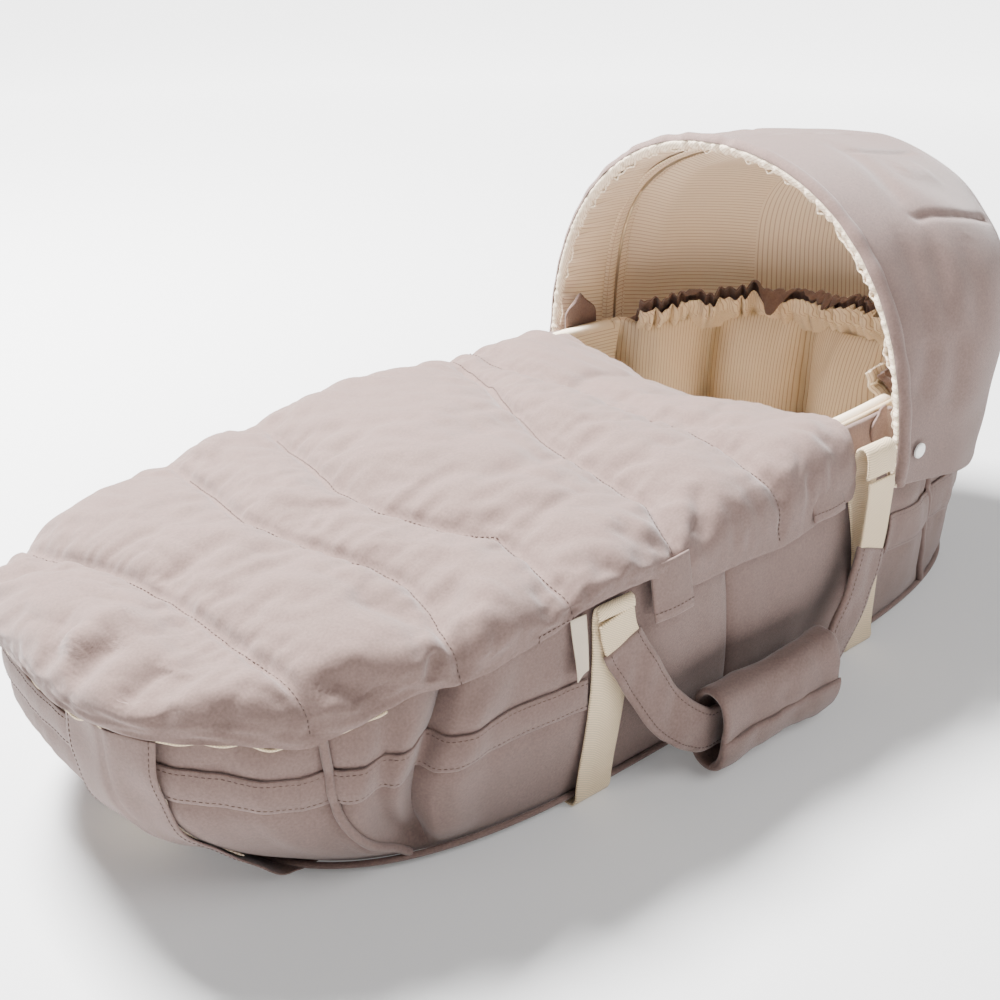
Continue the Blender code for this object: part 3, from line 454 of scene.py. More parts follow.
def woven(name, colour, pitch=0.9 * MM, fleck=0.34, sheen=0.25, stripe=None):
    """Plain-woven cloth: threads are crossed sines of the cloth coordinates, raised in the bump;
    flecks and soft blotches vary the colour, and stripe adds fine lines across the first coordinate,
    every second one darker."""
    finish, maths, u, v = cloth_finish(name, 0.88, sheen, 0.55)
    spot = node(finish, "TexCoord", {}).outputs["Object"]
    grain, patches = (
        node(finish, "TexNoise", {"Vector": spot, "Scale": 1 / size, "Detail": detail}).outputs["Fac"]
        for size, detail in (CLOTH_GRAIN, CLOTH_PATCHES))
    warp, weft = (maths("SINE", maths("MULTIPLY", along, 2 * math.pi / pitch)) for along in (u, v))
    weave = maths("MULTIPLY", warp, weft)
    flecks = maths("MULTIPLY", maths("SUBTRACT", grain, 0.5), 2 * fleck)
    blotches = maths("MULTIPLY", maths("SUBTRACT", patches, 0.5), 2 * CLOTH_BLOTCH)
    # The weave term in the tone is faint painted shade: the colour darkens a little where the threads sink,
    # as the bump does.
    tone = maths("ADD", maths("ADD", flecks, blotches), maths("MULTIPLY", weave, 0.25 * fleck))
    colour = (*colour, 1.0)
    if stripe:
        across = maths("DIVIDE", u, STRIPE_PITCH)
        line, second = (maths("ABSOLUTE", maths("SUBTRACT", maths("FRACT", at), 0.5))
                        for at in (across, maths("MULTIPLY", across, 0.5)))
        edge = node(finish, "MapRange", {"Value": line, **STRIPE_EDGE},
                    interpolation_type="SMOOTHSTEP").outputs[0]
        strength = maths("ADD", 0.45, maths("MULTIPLY", maths("GREATER_THAN", second, 0.25), 0.35))
        mixed = {"A": colour, "B": (*stripe, 1.0), "Factor": maths("MULTIPLY", edge, strength)}
        colour = node(finish, "Mix", mixed, data_type="RGBA").outputs["Result"]
    height = maths("ADD", maths("MULTIPLY", weave, 0.5), maths("MULTIPLY", grain, 1.4))
    paint_cloth(finish, colour, maths("ADD", tone, 1.0), height, 0.6, CLOTH_RELIEF)
    return finish


taupe_cotton = woven("taupe_cotton", TAUPE)
thread = woven("mauve_thread", THREAD, fleck=0.05, sheen=0.1)


def panel_grid(start, end, edges, step=CLOTH_STEP, out=0.0):
    """Wall grid between two upright seams, each given as angles at its top and bottom. edges gives
    the low and the high edge's heights for the plan angles."""
    middle = [sum(pair) / 2 for pair in (start, end)]
    angles = spread(*middle, step)
    t = ((angles - middle[0]) / (middle[1] - middle[0]))[:, None]
    low, high = (np.broadcast_to(edge, angles.shape)[:, None] for edge in edges(angles))
    levels = np.linspace(0, 1, int(float(np.mean(high - low)) / step) + 2)[None, :]
    z = low + (high - low) * levels
    left, right = leaning(*start, z), leaning(*end, z)
    angle = left + (right - left) * t
    return wall(angle, z, skin(angle, z) + out)


def to_rim(angles):
    """A panel's low and high edge."""
    return PANEL_FOOT_HEIGHT, rim_height(angles)


def panel(solid, start, end):
    """One outer panel between two seams, for the solid that it dresses."""
    grid = panel_grid(start, end, to_rim)
    outside = 1 if end[0] > start[0] else -1
    cloth = shell(f"{solid}_cloth", grid, WALL_THICK, taupe_cotton, inward=outside)
    place(cloth, "root", "taupe_cotton", solid)


far_foot_seam = [angle - 2 * math.pi for angle in seam_angles(FOOT_PIPING, 1)]
panel("foot_panel", seam_angles(FOOT_PIPING, -1), far_foot_seam)
for label, side in SIDES:
    panel(f"corner_gusset_{label}", seam_angles(FOOT_PIPING, side), seam_angles(GUSSET_SEAM, side))
    panel(f"side_panel_foot_{label}", seam_angles(GUSSET_SEAM, side), seam_angles(SIDE_SEAM, side))
    panel(f"side_panel_head_{label}", seam_angles(SIDE_SEAM, side), seam_angles(HEAD_PIPING, side))
panel("head_panel", seam_angles(HEAD_PIPING, -1), seam_angles(HEAD_PIPING, 1))


# Casing bands
# Strips of the same cotton laid on the panels and top-stitched along both edges, so that a cord or
# a strap can run inside. They go from the webbing round each end, and fold into the foot's creases.
BAND_THICK = 2.0 * MM
BAND_OUT = 2.4 * MM
STITCH_LENGTH = 2.4 * MM
STITCH_GAP = 1.3 * MM
STITCH_RADIUS = 0.36 * MM
STITCH_INSET = 2.2 * MM


def resampled(path, step, *others):
    """A path with its points evenly spaced by step, then other arrays carried along with it."""
    walk = np.concatenate([[0.0], np.cumsum(np.linalg.norm(np.diff(path, axis=0), axis=1))])
    count = max(int(walk[-1] / step) + 1, 3)
    at = np.linspace(0, walk[-1], count)
    return [np.stack([np.interp(at, walk, column) for column in values.T], axis=1)
            for values in (path, *others)]


def stitches(name, path, normals, finish=thread, lift=0.1 * MM):
    """A row of stitches: each is a small four-sided spindle lying along the path on the cloth."""
    path, normals = resampled(path, STITCH_LENGTH + STITCH_GAP, normals)
    ahead = unit(np.gradient(path, axis=0))
    normals = unit(normals)
    side = np.cross(ahead, normals)
    along = np.array([-0.5, -0.36, 0.36, 0.5]) * STITCH_LENGTH
    radius = np.array([0.12, 1.0, 1.0, 0.12]) * STITCH_RADIUS
    turn = np.arange(4) * math.pi / 2
    ring = np.cos(turn)[:, None, None] * side + np.sin(turn)[:, None, None] * normals
    points = (path + lift * normals)[:, None, None] + along[:, None, None] * ahead[:, None, None]
    points = points + radius[:, None, None] * np.moveaxis(ring, 0, 1)[:, None]
    count = len(path)
    corner = np.arange(count * 16).reshape(count, 4, 4)
    after = np.roll(corner, -1, axis=2)
    sides = np.stack([corner[:, :-1], after[:, :-1], after[:, 1:], corner[:, 1:]], axis=-1).reshape(-1, 4)
    ends = np.concatenate([corner[:, 0, ::-1], corner[:, -1]])
    faces = np.concatenate([sides, ends])
    return add_piece(name, points.reshape(-1, 3), faces, np.zeros((count * 16, 2)), finish)


def skin_line(angles, z, out):
    """A line on the padded wall at given heights, and its outward normals."""
    line = wall(angles, z, skin(angles, z) + out)
    outward = line - np.array([WIDEST_X, 0.0, 0.0])
    outward[:, 2] = 0.0
    return line, unit(outward)


def band(name, start, end, *nodes):
    """One stretch of casing band between two stations, with its two rows of stitches."""
    grid = panel_grid([start, start], [end, end], band_edges, 3 * MM, BAND_OUT)
    outside = 1 if end > start else -1
    cloth = shell(f"{name}_cloth", grid, BAND_THICK, taupe_cotton, inward=outside)
    place(cloth, "root", "taupe_cotton", *nodes)
    angles = spread(start, end, 2 * MM)
    for which, edge, inset in zip(("low", "high"), band_edges(angles), (1, -1)):
        line = skin_line(angles, edge + inset * STITCH_INSET, BAND_OUT)
        place(stitches(f"{name}_{which}_stitches", *line), "root", "taupe_cotton")


band_ends = {"foot": FOOT_BAND_END_X, "gusset": -0.214, "front": -0.128, "rear": 0.197, "head": 0.272}
band("band_foot", *ends_at(band_ends["foot"], round_foot=True), "band_foot")
band("band_head", *ends_at(band_ends["head"]), "band_head")
for label, side in SIDES:
    at = {key: angle_at(x, side) for key, x in band_ends.items()}
    band(f"band_gusset_{label}", at["foot"], at["gusset"])
    band(f"band_side_foot_{label}", at["gusset"], at["front"], f"band_side_foot_{label}")
    band(f"band_side_head_{label}", at["rear"], at["head"], f"band_side_head_{label}")


# Piping
# Bias strips of the cotton wrapped round a cord and caught in the foot seams, the head seams and all
# round the base, which keeps its edge crisp.
PIPING_RADIUS = 3.0 * MM


def rod(name, path, radius, finish, square_to, closed=False, sides=10):
    """A round rod along a path: circles in the planes of square_to x ahead and its normal. Its ends
    are half round. radius may vary along the path."""
    ahead = np.roll(path, -1, axis=0) - np.roll(path, 1, axis=0) if closed else np.gradient(path, axis=0)
    ahead = unit(ahead)
    radius = np.broadcast_to(radius, len(path)).copy()
    if not closed:
        caps = np.array([1.0, 0.92, 0.7, 0.38])
        first = path[0] - radius[0] * ahead[0] * caps[:, None]
        last = path[-1] + radius[-1] * ahead[-1] * caps[::-1, None]
        path = np.concatenate([first, path, last])
        ahead = np.concatenate([[ahead[0]] * 4, ahead, [ahead[-1]] * 4])
        round_off = np.sqrt(1 - caps ** 2)
        radius = np.concatenate([radius[0] * round_off, radius, radius[-1] * round_off[::-1]])
    side = unit(np.cross(ahead, square_to))
    top = np.cross(side, ahead)
    turn = np.linspace(0, 2 * math.pi, sides, endpoint=False)
    ring = np.cos(turn)[:, None] * side[:, None] + np.sin(turn)[:, None] * top[:, None]
    points = path[:, None] + radius[:, None, None] * ring
    corner = np.arange(len(path) * sides).reshape(-1, sides)
    after = np.roll(corner, -1, axis=0) if closed else corner[1:]
    here = corner if closed else corner[:-1]
    faces = np.stack([here, after, np.roll(after, -1, axis=1), np.roll(here, -1, axis=1)], axis=-1)
    faces = faces.reshape(-1, 4).tolist()
    if not closed:
        faces += [corner[0].tolist(), corner[-1][::-1].tolist()]
    walk = np.concatenate([[0.0], np.cumsum(np.linalg.norm(np.diff(path, axis=0), axis=1))])
    uv = stacked(walk[:, None], turn * float(radius.max()))
    made = add_piece(name, points.reshape(-1, 3), faces, uv.reshape(-1, 2), finish)
    made.data.flip_normals()
    return made


for label, side in SIDES:
    for end, stations, high in (("foot", FOOT_PIPING, 0.140), ("head", HEAD_PIPING, 0.135)):
        z = np.linspace(0.010, high, 40)
        angles = leaning(*seam_angles(stations, side), z)
        line = wall(angles, z, skin(angles, z) + 0.7 * PIPING_RADIUS)
        cord = rod(f"piping_{end}_{label}_cord", line, PIPING_RADIUS, taupe_cotton, [1.0, 0.0, 0.0])
        place(cord, "root", "taupe_cotton", f"piping_{end}_{label}")
angles = spread(-math.pi, math.pi, 6 * MM)[:-1]
overhang = np.clip(-1.5 * np.cos(angles), 0, 1) * 2.6 * MM
line = wall(angles, 7.2 * MM, 0.6 * PIPING_RADIUS + overhang)
place(rod("piping_base_cord", line, 0.75 * PIPING_RADIUS, taupe_cotton, [0.0, 0.0, 1.0], closed=True),
      "root", "taupe_cotton", "piping_base")


# Webbing
# Unbleached cotton tape, 30 mm wide and 2 mm thick, woven with a coarse weft. Two lengths run under
# the base and up both sides to the rim, where each turns over into a loop that holds a handle.
WEBBING_WIDTH = 30 * MM
WEBBING_THICK = 2.2 * MM
WEBBING_CLIMB = ((0.0, 1.1 * MM), (0.150, 1.1 * MM), (0.1745, 1.1 * MM), (0.1800, 3.6 * MM), (0.1816, 8 * MM),
                 (0.1816, 15 * MM), (0.1824, 0.03), (0.1844, 0.05), (0.1864, 0.075), (0.1871, 0.10),
                 (0.1858, 0.125))
FRONT_LOOP = ((0.1835, 0.145), (0.1838, 0.153), (0.1856, 0.1575), (0.1876, 0.1550), (0.1884, 0.1500))
REAR_LOOP = ((0.1830, 0.150), (0.1822, 0.172), (0.1845, 0.187), (0.1895, 0.1915), (0.1945, 0.188),
             (0.1966, 0.179), (0.1968, 0.170))
CREAM = (0.74, 0.58, 0.38)


def tape_finish(name, colour, pitch, relief):
    """Coarse tape: rounded ribs across it, offset from thread to thread like bricks, in the bump, and in
    the tone as painted shade, darkest in the gaps between the ribs."""
    finish, maths, u, v = cloth_finish(name, 0.85, 0.2, 0.5)
    along, across = (maths("MULTIPLY", way, math.pi / pitch) for way in (u, v))
    ribs, offset = (maths("ABSOLUTE", maths("MULTIPLY", maths(wave, along), maths(wave, across)))
                    for wave in ("SINE", "COSINE"))
    weave = maths("MAXIMUM", ribs, offset)
    # Painted shade: the colour follows the ribs' height, darker in the gaps between them and lighter on their
    # crowns.
    tone = maths("ADD", maths("MULTIPLY", weave, 0.62), 0.54)
    paint_cloth(finish, (*colour, 1.0), tone, weave, 0.8, relief)
    return finish


webbing_cotton = tape_finish("webbing_cotton", CREAM, 1.9 * MM, 0.5 * MM)


def curve_through(points, step=3 * MM):
    """A smooth curve through given points: cubic pieces with matching directions, in even steps."""
    points = np.asarray(points, float)
    padded = np.concatenate([[2 * points[0] - points[1]], points, [2 * points[-1] - points[-2]]])
    before, start, end, after = (padded[k:len(padded) - 3 + k][:, None] for k in range(4))
    t = np.linspace(0, 1, 12, endpoint=False)[None, :, None]
    curve = 0.5 * (2 * start + (end - before) * t + (2 * before - 5 * start + 4 * end - after) * t ** 2
                   + (3 * start - before - 3 * end + after) * t ** 3)
    curve = np.concatenate([curve.reshape(-1, points.shape[1]), points[-1:]])
    return resampled(curve, step)[0]


def square_to_path(path, across):
    """Unit vectors across a path, made square to it, and the normals of the strap that they span."""
    ahead = unit(np.gradient(path, axis=0))
    across = np.broadcast_to(across, path.shape)
    across = unit(across - np.sum(across * ahead, axis=1)[:, None] * ahead)
    return across, np.cross(ahead, across)


def ribbon(name, path, across, width, thick, finish):
    """A flat strap: the path is its middle line and across its width direction at each point."""
    across, facing = square_to_path(path, across)
    t = np.linspace(-0.5, 0.5, 7)[None, :, None]
    grid = path[:, None] + width * t * across[:, None]
    return shell(name, grid + 0.5 * thick * facing[:, None], thick, finish)


def webbing_route(stations, loop):
    """One webbing: up the wall from the middle of the base to its loop, as (y, z), and back mirrored.
    The far loops hang lower."""
    near = curve_through(WEBBING_CLIMB + loop)
    top, bottom = stations
    x = bottom + (top - bottom) * np.clip(near[:, 1] / WEBBING_RISE, 0, 1)
    near = np.stack([x, -near[:, 0], near[:, 1]], axis=1)
    far = near[:0:-1] * (1, -1, 1)
    far[:, 2] -= 0.85 * np.clip(far[:, 2] - 0.143, 0, 1)
    return np.concatenate([far, near])


for end, stations, loop in (("front", FRONT_WEBBING_X, FRONT_LOOP), ("rear", REAR_WEBBING_X, REAR_LOOP)):
    route = webbing_route(stations, loop)
    strip = ribbon(f"webbing_{end}_tape", route, [1.0, 0.0, 0.0], WEBBING_WIDTH, WEBBING_THICK,
                   webbing_cotton)
    place(strip, "root", "cream_tape", f"webbing_{end}")


# Label
# A folded woven cream tape, caught in the wall beside the front webbing so that its low end stands
# off. It is left bare.
LABEL_WIDTH = 12 * MM
LABEL_HEIGHTS = (0.114, 0.153)
LABEL_GAP = 11 * MM
label_cotton = woven("label_cotton", (0.62, 0.52, 0.40), pitch=0.5 * MM, fleck=0.04)
label_x = FRONT_WEBBING_X[0] - WEBBING_WIDTH / 2 - LABEL_GAP
t = np.linspace(0, 1, 8)[:, None]
z = np.linspace(*LABEL_HEIGHTS, 14)[None, :]
angles = angle_at(label_x + LABEL_WIDTH * (t - 0.5), -1)
stand_off = 2.6 * MM + 6 * MM * (1 - t) ** 1.5 * smooth(0.150, 0.112, z)
label_grid = wall(angles, z, stand_off)
place(shell("side_label_tape", label_grid, 0.9 * MM, label_cotton), "root", "cream_tape", "side_label")


# Base
# The floor of the cot: a flat cotton panel sewn into the base piping, stretched over a stiff board.
# It stands on the ground, and the webbings and the foot strap lie under it in shallow dips.
BASE_THICK = 2.0 * MM
STRAP_END = (-0.318, -0.080)
BOARD_BROWNS = ((0.30, 0.22, 0.15), (0.52, 0.42, 0.30))


def refinish(finish, *nodes):
    """Give solids that stay in sight their own material."""
    for solid in nodes:
        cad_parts[solid].data.materials.clear()
        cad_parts[solid].data.materials.append(finish)


def plan_grid(step, z, out):
    """Points filling the wall's plan at one height: a square's grid pressed into the superellipse by
    x = p (1 - q^n / 2)^(1/n) and y = q (1 - p^n / 2)^(1/n), with n its squareness."""
    foot, head, half = (np.interp(z, (0.0, MID_HEIGHT), size[:2]) + out
                        for size in (FOOT_REACH, HEAD_REACH, HALF_WIDTH))
    p = np.linspace(-1, 1, int((foot + head) / step))[:, None]
    q = np.linspace(-1, 1, int(2 * half / step))[None, :]
    power = np.where(p < 0, FOOT_SQUARENESS, HEAD_SQUARENESS)
    x = np.where(p < 0, foot, head) * p * (1 - 0.5 * np.abs(q) ** power) ** (1 / power)
    y = half * q * (1 - 0.5 * np.abs(p) ** power) ** (1 / power)
    return stacked(WIDEST_X + x, y, z)


base = plan_grid(6 * MM, 0.0, -2.5 * MM)
under_webbing = sum(1 - smooth(0.016, 0.020, np.abs(base[..., 0] - x))
                    for _, x in (FRONT_WEBBING_X, REAR_WEBBING_X))
from_strap = np.maximum(np.abs(base[..., 1] - STRAP_END[1]), np.abs(base[..., 0] - STRAP_END[0]))
under_strap = 1 - smooth(0.038, 0.044, from_strap)
base[..., 2] = 0.1 * MM + 2.6 * MM * np.clip(under_webbing, 0, 1) + 4.2 * MM * under_strap
base[..., 2] += 0.25 * MM * (1 + ripple(base[..., :2], 0.09, 11))
base_cloth = shell("bottom_panel_cloth", base, BASE_THICK, taupe_cotton, inward=-1)
place(base_cloth, "root", "taupe_cotton", "bottom_panel")

fibre_board = new_finish("fibre_board", {"Roughness": 0.85})
on_board = node(fibre_board, "TexCoord", {}).outputs["Object"]
fibres = node(fibre_board, "TexNoise", {"Scale": 900.0, "Vector": on_board}).outputs["Fac"]
fibre_colours = node(fibre_board, "ValToRGB", {"Fac": fibres})
for stop, colour in zip(fibre_colours.color_ramp.elements, BOARD_BROWNS):
    stop.color = (*colour, 1.0)
shade(fibre_board, {"Base Color": fibre_colours.outputs["Color"]})
refinish(fibre_board, "base_board")


# Mattress
# A thin foam pad in the striped cotton, crowned in the middle. It lies on the board and ends short
# of the padded lining all round.
STRIPED = (0.93, 0.79, 0.60)
STRIPE = (0.50, 0.32, 0.20)
striped_cotton = woven("striped_cotton", STRIPED, pitch=0.6 * MM, fleck=0.04, stripe=STRIPE, sheen=0.15)
MATTRESS_TOP = 48 * MM
MATTRESS_THICK = 36 * MM

pad = plan_grid(8 * MM, 30 * MM, -52 * MM)
sideways = np.clip(np.abs(pad[..., 1]) / HALF_WIDTH[0], 0, 1)
pad[..., 2] = MATTRESS_TOP + 5 * MM * np.cos(sideways * math.pi / 2)
pad[..., 2] += 1.2 * MM * ripple(pad[..., :2], 0.14, 12)
mattress = shell("mattress_pad", pad, MATTRESS_THICK, striped_cotton)
place(mattress, "root", "striped_cotton", "mattress")


# Padded lining
# Striped cotton quilted over wadding, sewn to the walls at the rim. The sides and the foot are flat;
# at the head it is stitched down into five upright channels, stuffed plump.
LINER_OUT = -6.4 * MM
LINER_LOW = 13 * MM
LINER_THICK = 11 * MM
LINER_FOOT_X = -0.222
LINER_HEAD_X = 0.235
LINER_HEAD_LOW = 6.2 * MM
LINER_HEAD_TOP = 0.172
CHANNELS = 5
CHANNEL_VALLEY = 9 * MM
CHANNEL_PLUMP = 44 * MM


def lining_pad(solid, start, end):
    """A flat stretch of the lining, softly uneven and drawn in at the gussets' seams."""
    angles = spread(start, end, 6 * MM)[:, None]
    top = rim_height(angles) - 1.0 * MM
    z = LINER_LOW + (top - LINER_LOW) * np.linspace(0, 1, 30)[None, :]
    soft = 1.2 * MM * ripple(stacked(walked(angles), z), 0.07, 21)
    from_seams = (from_seam(angles, z, GUSSET_SEAM, side) for _, side in SIDES)
    drawn_in = -21 * MM * sum(np.exp(-(gap / 0.032) ** 2) for gap in from_seams)
    grid = wall(angles, z, LINER_OUT - LINER_THICK + drawn_in - soft * smooth(top, top - 0.03, z))
    inside = -1 if end > start else 1
    pad = shell(f"{solid}_pad", grid, LINER_THICK - 0.4 * MM, striped_cotton, uv=stacked(z, walked(angles)),
                inward=inside)
    place(pad, "root", "striped_cotton", solid)


for label, side in SIDES:
    lining_pad(f"liner_side_{label}", angle_at(LINER_FOOT_X, side), angle_at(LINER_HEAD_X - 0.002, side))
lining_pad("liner_foot", *ends_at(LINER_FOOT_X, round_foot=True))

angles = spread(*ends_at(LINER_HEAD_X), 2.6 * MM)[:, None]
walk = walked(angles)
length = walk[-1] - walk[0]
lane = CHANNELS * ((walk - walk[0]) / length)
h = np.linspace(0, 1, 60)[None, :]
z = LINER_HEAD_LOW + (LINER_HEAD_TOP - LINER_HEAD_LOW) * h
swell = np.clip((np.abs(np.sin(math.pi * lane)) - 0.13) / 0.87, 0, 1) ** 0.5
swell = swell * np.sin(math.pi * (0.06 + 0.88 * h)) ** 0.5
from_valley = np.abs(lane - np.round(lane)) / CHANNELS * length
spot = stacked(walk, z)
tucks = ripple(spot * (1.0, 0.25), 0.022, 22) * smooth(0.55, 1.0, h)
crossed = ripple(spot * (0.35, 1.0), 0.024, 23) * np.exp(-from_valley / 0.014)
plump = CHANNEL_VALLEY + CHANNEL_PLUMP * swell + 1.6 * MM * tucks + 1.3 * MM * crossed
plump = plump + 1.5 * MM * ripple(spot, 0.05, 24)
head_face = wall(angles, z, LINER_OUT - plump)
head_pad = shell("liner_head_pad", head_face, plump, striped_cotton, uv=spot, inward=-1)
place(head_pad, "root", "striped_cotton", "liner_head")


# Gathered edge
# A striped casing round the head end's rim, ruched on a cream drawcord, with a mauve layer behind it
# that stands above it and flops over in loose flaps. The cord comes out of a metal eyelet.
FRILL_START = ((24 * MM, 40 * MM), (0.166, 0.196))
OUTER_START = ((19 * MM, 39 * MM), (0.1725, 0.2035))
FLAPS = ((0.69, 0.035, 0.9), (0.55, 0.07, 0.55), (0.30, 0.04, 0.5), (0.88, 0.03, 0.3))
FRILL_RISE = 30 * MM
FRILL_LEAN = 16 * MM
FRILL_END_X = 0.254
FRILL_THICK = 1.4 * MM

frill_angles = spread(*ends_at(FRILL_END_X), 1.7 * MM)[:, None]
frill_up, frill_out = unit(np.array([FRILL_LEAN, FRILL_RISE]))


def frill(h, offset, start=FRILL_START, lift=0.0):
    """The gathered edge at height h (0 to 1) up its lean, moved out by offset: folds along it have sharp
    valleys, the absolute value of waves of the distance walked, deepest near the drawcord. The soft
    head end stands higher on the near side."""
    spot = stacked(walked(frill_angles), 0.004 * h)
    waves = 1.1 * np.sqrt(0.02 + ripple(spot, 0.019, 31) ** 2) + 0.5 * ripple(spot, 0.012, 32) - 0.7
    waves = waves + 0.5 * ripple(spot, 0.045, 33)
    amount = 5.2 * MM * smooth(-0.2, 0.6, h)
    out = offset + amount * waves - 2.4 * MM * np.exp(-((h - 0.78) / 0.11) ** 2)
    in_by, up_from = (low + (high - low) * h for low, high in start)
    flat = wall(frill_angles, 0.17, -in_by + frill_out * out)
    tilt = -8 * MM * np.clip(np.sin(frill_angles) / 0.5, -1, 1)
    flat[..., 2] = up_from + frill_up * out + tilt + lift
    return flat


h = np.linspace(0, 1.12, 22)[None, :]
inner = shell("frill_lining_cloth", frill(h, -1.4 * MM), FRILL_THICK, striped_cotton)
place(inner, "root", "striped_cotton", "frill_lining")
h = np.linspace(0, 1.0, 26)[None, :]
walk = walked(frill_angles)
share = (walk - walk[0]) / (walk[-1] - walk[0])
flap = sum(size * np.exp(-((share - at) / width) ** 2) for at, width, size in FLAPS)
reach = h * (1.12 + 0.80 * flap) * (1 - 0.25 * smooth(0.14, 0.04, share))
over = np.clip(reach - 1.05, 0, 1)
outer = frill(reach, 2.2 * MM, OUTER_START, -56 * MM * over ** 1.4)
outer_layer = shell("frill_outer_cloth", outer, FRILL_THICK, taupe_cotton, inward=-1)
place(outer_layer, "root", "taupe_cotton", "frill_outer")
cord = resampled(frill(np.array([[0.84]]), 0.6 * MM)[:, 0], 4 * MM)[0]
place(rod("drawcord_line", cord, 1.3 * MM, webbing_cotton, [0.0, 0.0, 1.0]), "root", "cream_tape", "drawcord")
steel = new_finish("steel", {"Base Color": (0.52, 0.45, 0.36, 1.0), "Metallic": 1.0, "Roughness": 0.32})
refinish(steel, "drawcord_eyelet", "hood_bow", "hood_snap_stud_near", "hood_snap_stud_far")


# Foot strap
# A wide strap of the cotton at the foot end, sewn in under the cover's hem and again under the base,
# with a crease down its middle and its inner face striped. It stands off the wall as a handhold.
STRAP_ROUTE = ((-0.3990, -0.078, 0.141), (-0.4000, -0.078, 0.106), (-0.3890, -0.078, 0.070),
               (-0.3610, -0.080, 0.037), (-0.3330, -0.082, 0.0105), (-0.3140, -0.081, 0.0046),
               (-0.2950, -0.080, 0.0038))
STRAP_ACROSS = np.array([0.33, -0.94, 0.0])
STRAP_WIDTH = 72 * MM
STRAP_LINING_BACK = 3.4 * MM
LINED_PART = slice(5, -20)


def turned_to(grid, direction, row, column):
    """1 where a grid's normal at a point goes along a direction, and -1 where it goes against it."""
    return float(np.sign(np.sum(normals_of(grid)[row, column] * direction)))


route = curve_through(STRAP_ROUTE)
across, facing = square_to_path(route, STRAP_ACROSS)
outward = facing * np.sign(facing[0, 0]) * -1
t = np.linspace(-0.5, 0.5, 25)[None, :, None]
spot = route[:, None] + STRAP_WIDTH * t * across[:, None]
above_floor = smooth(0.005, 0.03, route[:, 2])[:, None, None]
bowed = 6.5 * MM * (1 - 4 * t ** 2) * smooth(0.02, 0.06, route[:, 2])[:, None, None]
crease = bowed + (0.8 * MM * np.cos(4 * math.pi * t) - 1.4 * MM * np.exp(-(t / 0.035) ** 2)) * above_floor
soft = 1.6 * MM * ripple(spot, 0.05, 41)[..., None] * above_floor
strap_face = spot + (0.7 * MM + crease + soft) * outward[:, None]
turned = turned_to(strap_face, outward[4], 4, 4)
strap = shell("foot_strap_cloth", strap_face, 1.4 * MM, taupe_cotton, inward=turned)
place(strap, "root", "taupe_cotton", "foot_strap")
strap_back = (spot + (crease + soft - STRAP_LINING_BACK) * outward[:, None])[LINED_PART, 1:-1]
strap_lining = shell("foot_strap_lining_cloth", strap_back, 1.2 * MM, striped_cotton, inward=-turned)
place(strap_lining, "root", "striped_cotton", "foot_strap_lining")
for name, column in (("near", 1), ("far", -2)):
    place(stitches(f"foot_strap_stitches_{name}", strap_face[:, column], outward), "root", "taupe_cotton")


# Handles
# Each handle is webbing that turns into a sleeve of the mauve cotton, stitched along both edges. It is
# sewn to the loops of the two webbings and hangs against the side.
HANDLE_FRONT = (-0.107, 0.1885, 0.147)
HANDLE_REAR = (0.150, 0.1985, 0.171)
GRIP_START, GRIP_END = -0.036, 0.084
GRIP_OUT = 0.212
GRIP_HEIGHT = 0.039
HANDLE_WIDTH = 30 * MM
HANDLE_THICK = 4.6 * MM
HANDLE_STEP = 2.5 * MM
TAPE_SHOWN = (26 * MM, 66 * MM)
SLEEVE_FROM = (20 * MM, 60 * MM)
REAR_TAPE_END = {-1: 5 * MM, 1: 14 * MM}

handle_points = [HANDLE_FRONT, (-0.103, 0.190, 0.128), (-0.091, 0.196, 0.102), (-0.072, 0.205, 0.066),
                 (GRIP_START - 0.010, GRIP_OUT, GRIP_HEIGHT + 0.004),
                 (GRIP_START + 0.01, GRIP_OUT, GRIP_HEIGHT), (0.024, GRIP_OUT, GRIP_HEIGHT),
                 (GRIP_END - 0.01, GRIP_OUT, GRIP_HEIGHT),
                 (GRIP_END + 0.012, GRIP_OUT - 0.001, GRIP_HEIGHT + 0.005), (0.122, 0.207, 0.072),
                 (0.143, 0.202, 0.112), (0.149, 0.1995, 0.145), HANDLE_REAR]
for label, side in SIDES:
    body = f"handle_{label}"
    route = curve_through(handle_points, HANDLE_STEP) * (1, side, 1)
    ahead = unit(np.gradient(route, axis=0))
    across = unit(np.cross(ahead, [0.0, 1.0, 0.0]))
    outward = np.cross(ahead, across)
    outward = outward * np.sign(outward[:, 1:2]) * side
    walk = np.arange(len(route)) * HANDLE_STEP
    left = walk[-1] - walk
    for end, part in (("front", walk < TAPE_SHOWN[0]),
                      ("rear", (left < TAPE_SHOWN[1]) & (left > REAR_TAPE_END[side]))):
        strip = ribbon(f"handle_tape_{end}_{label}", route[part], across[part], HANDLE_WIDTH - 2 * MM,
                       WEBBING_THICK, webbing_cotton)
        place(strip, body, "cream_tape")
    part = (walk > SLEEVE_FROM[0]) & (left > SLEEVE_FROM[1])
    t = np.linspace(-0.5, 0.5, 13)[None, :, None]
    spot = route[part][:, None] + HANDLE_WIDTH * t * across[part][:, None]
    pillow = 0.7 * MM * (1 - (2 * t) ** 4) + 0.8 * MM * ripple(spot, 0.02, 51)[..., None]
    outward = outward[part]
    face = spot + (0.5 * HANDLE_THICK - 0.4 * MM + pillow) * outward[:, None]
    sleeve = shell(f"handle_sleeve_{label}", face, HANDLE_THICK, taupe_cotton,
                   inward=turned_to(face, outward[4], 4, 4))
    place(sleeve, body, "taupe_cotton", f"handle_strap_{label}")
    for name, column in (("low", 1), ("high", -2)):
        place(stitches(f"handle_stitches_{name}_{label}", face[:, column], outward), body, "taupe_cotton")


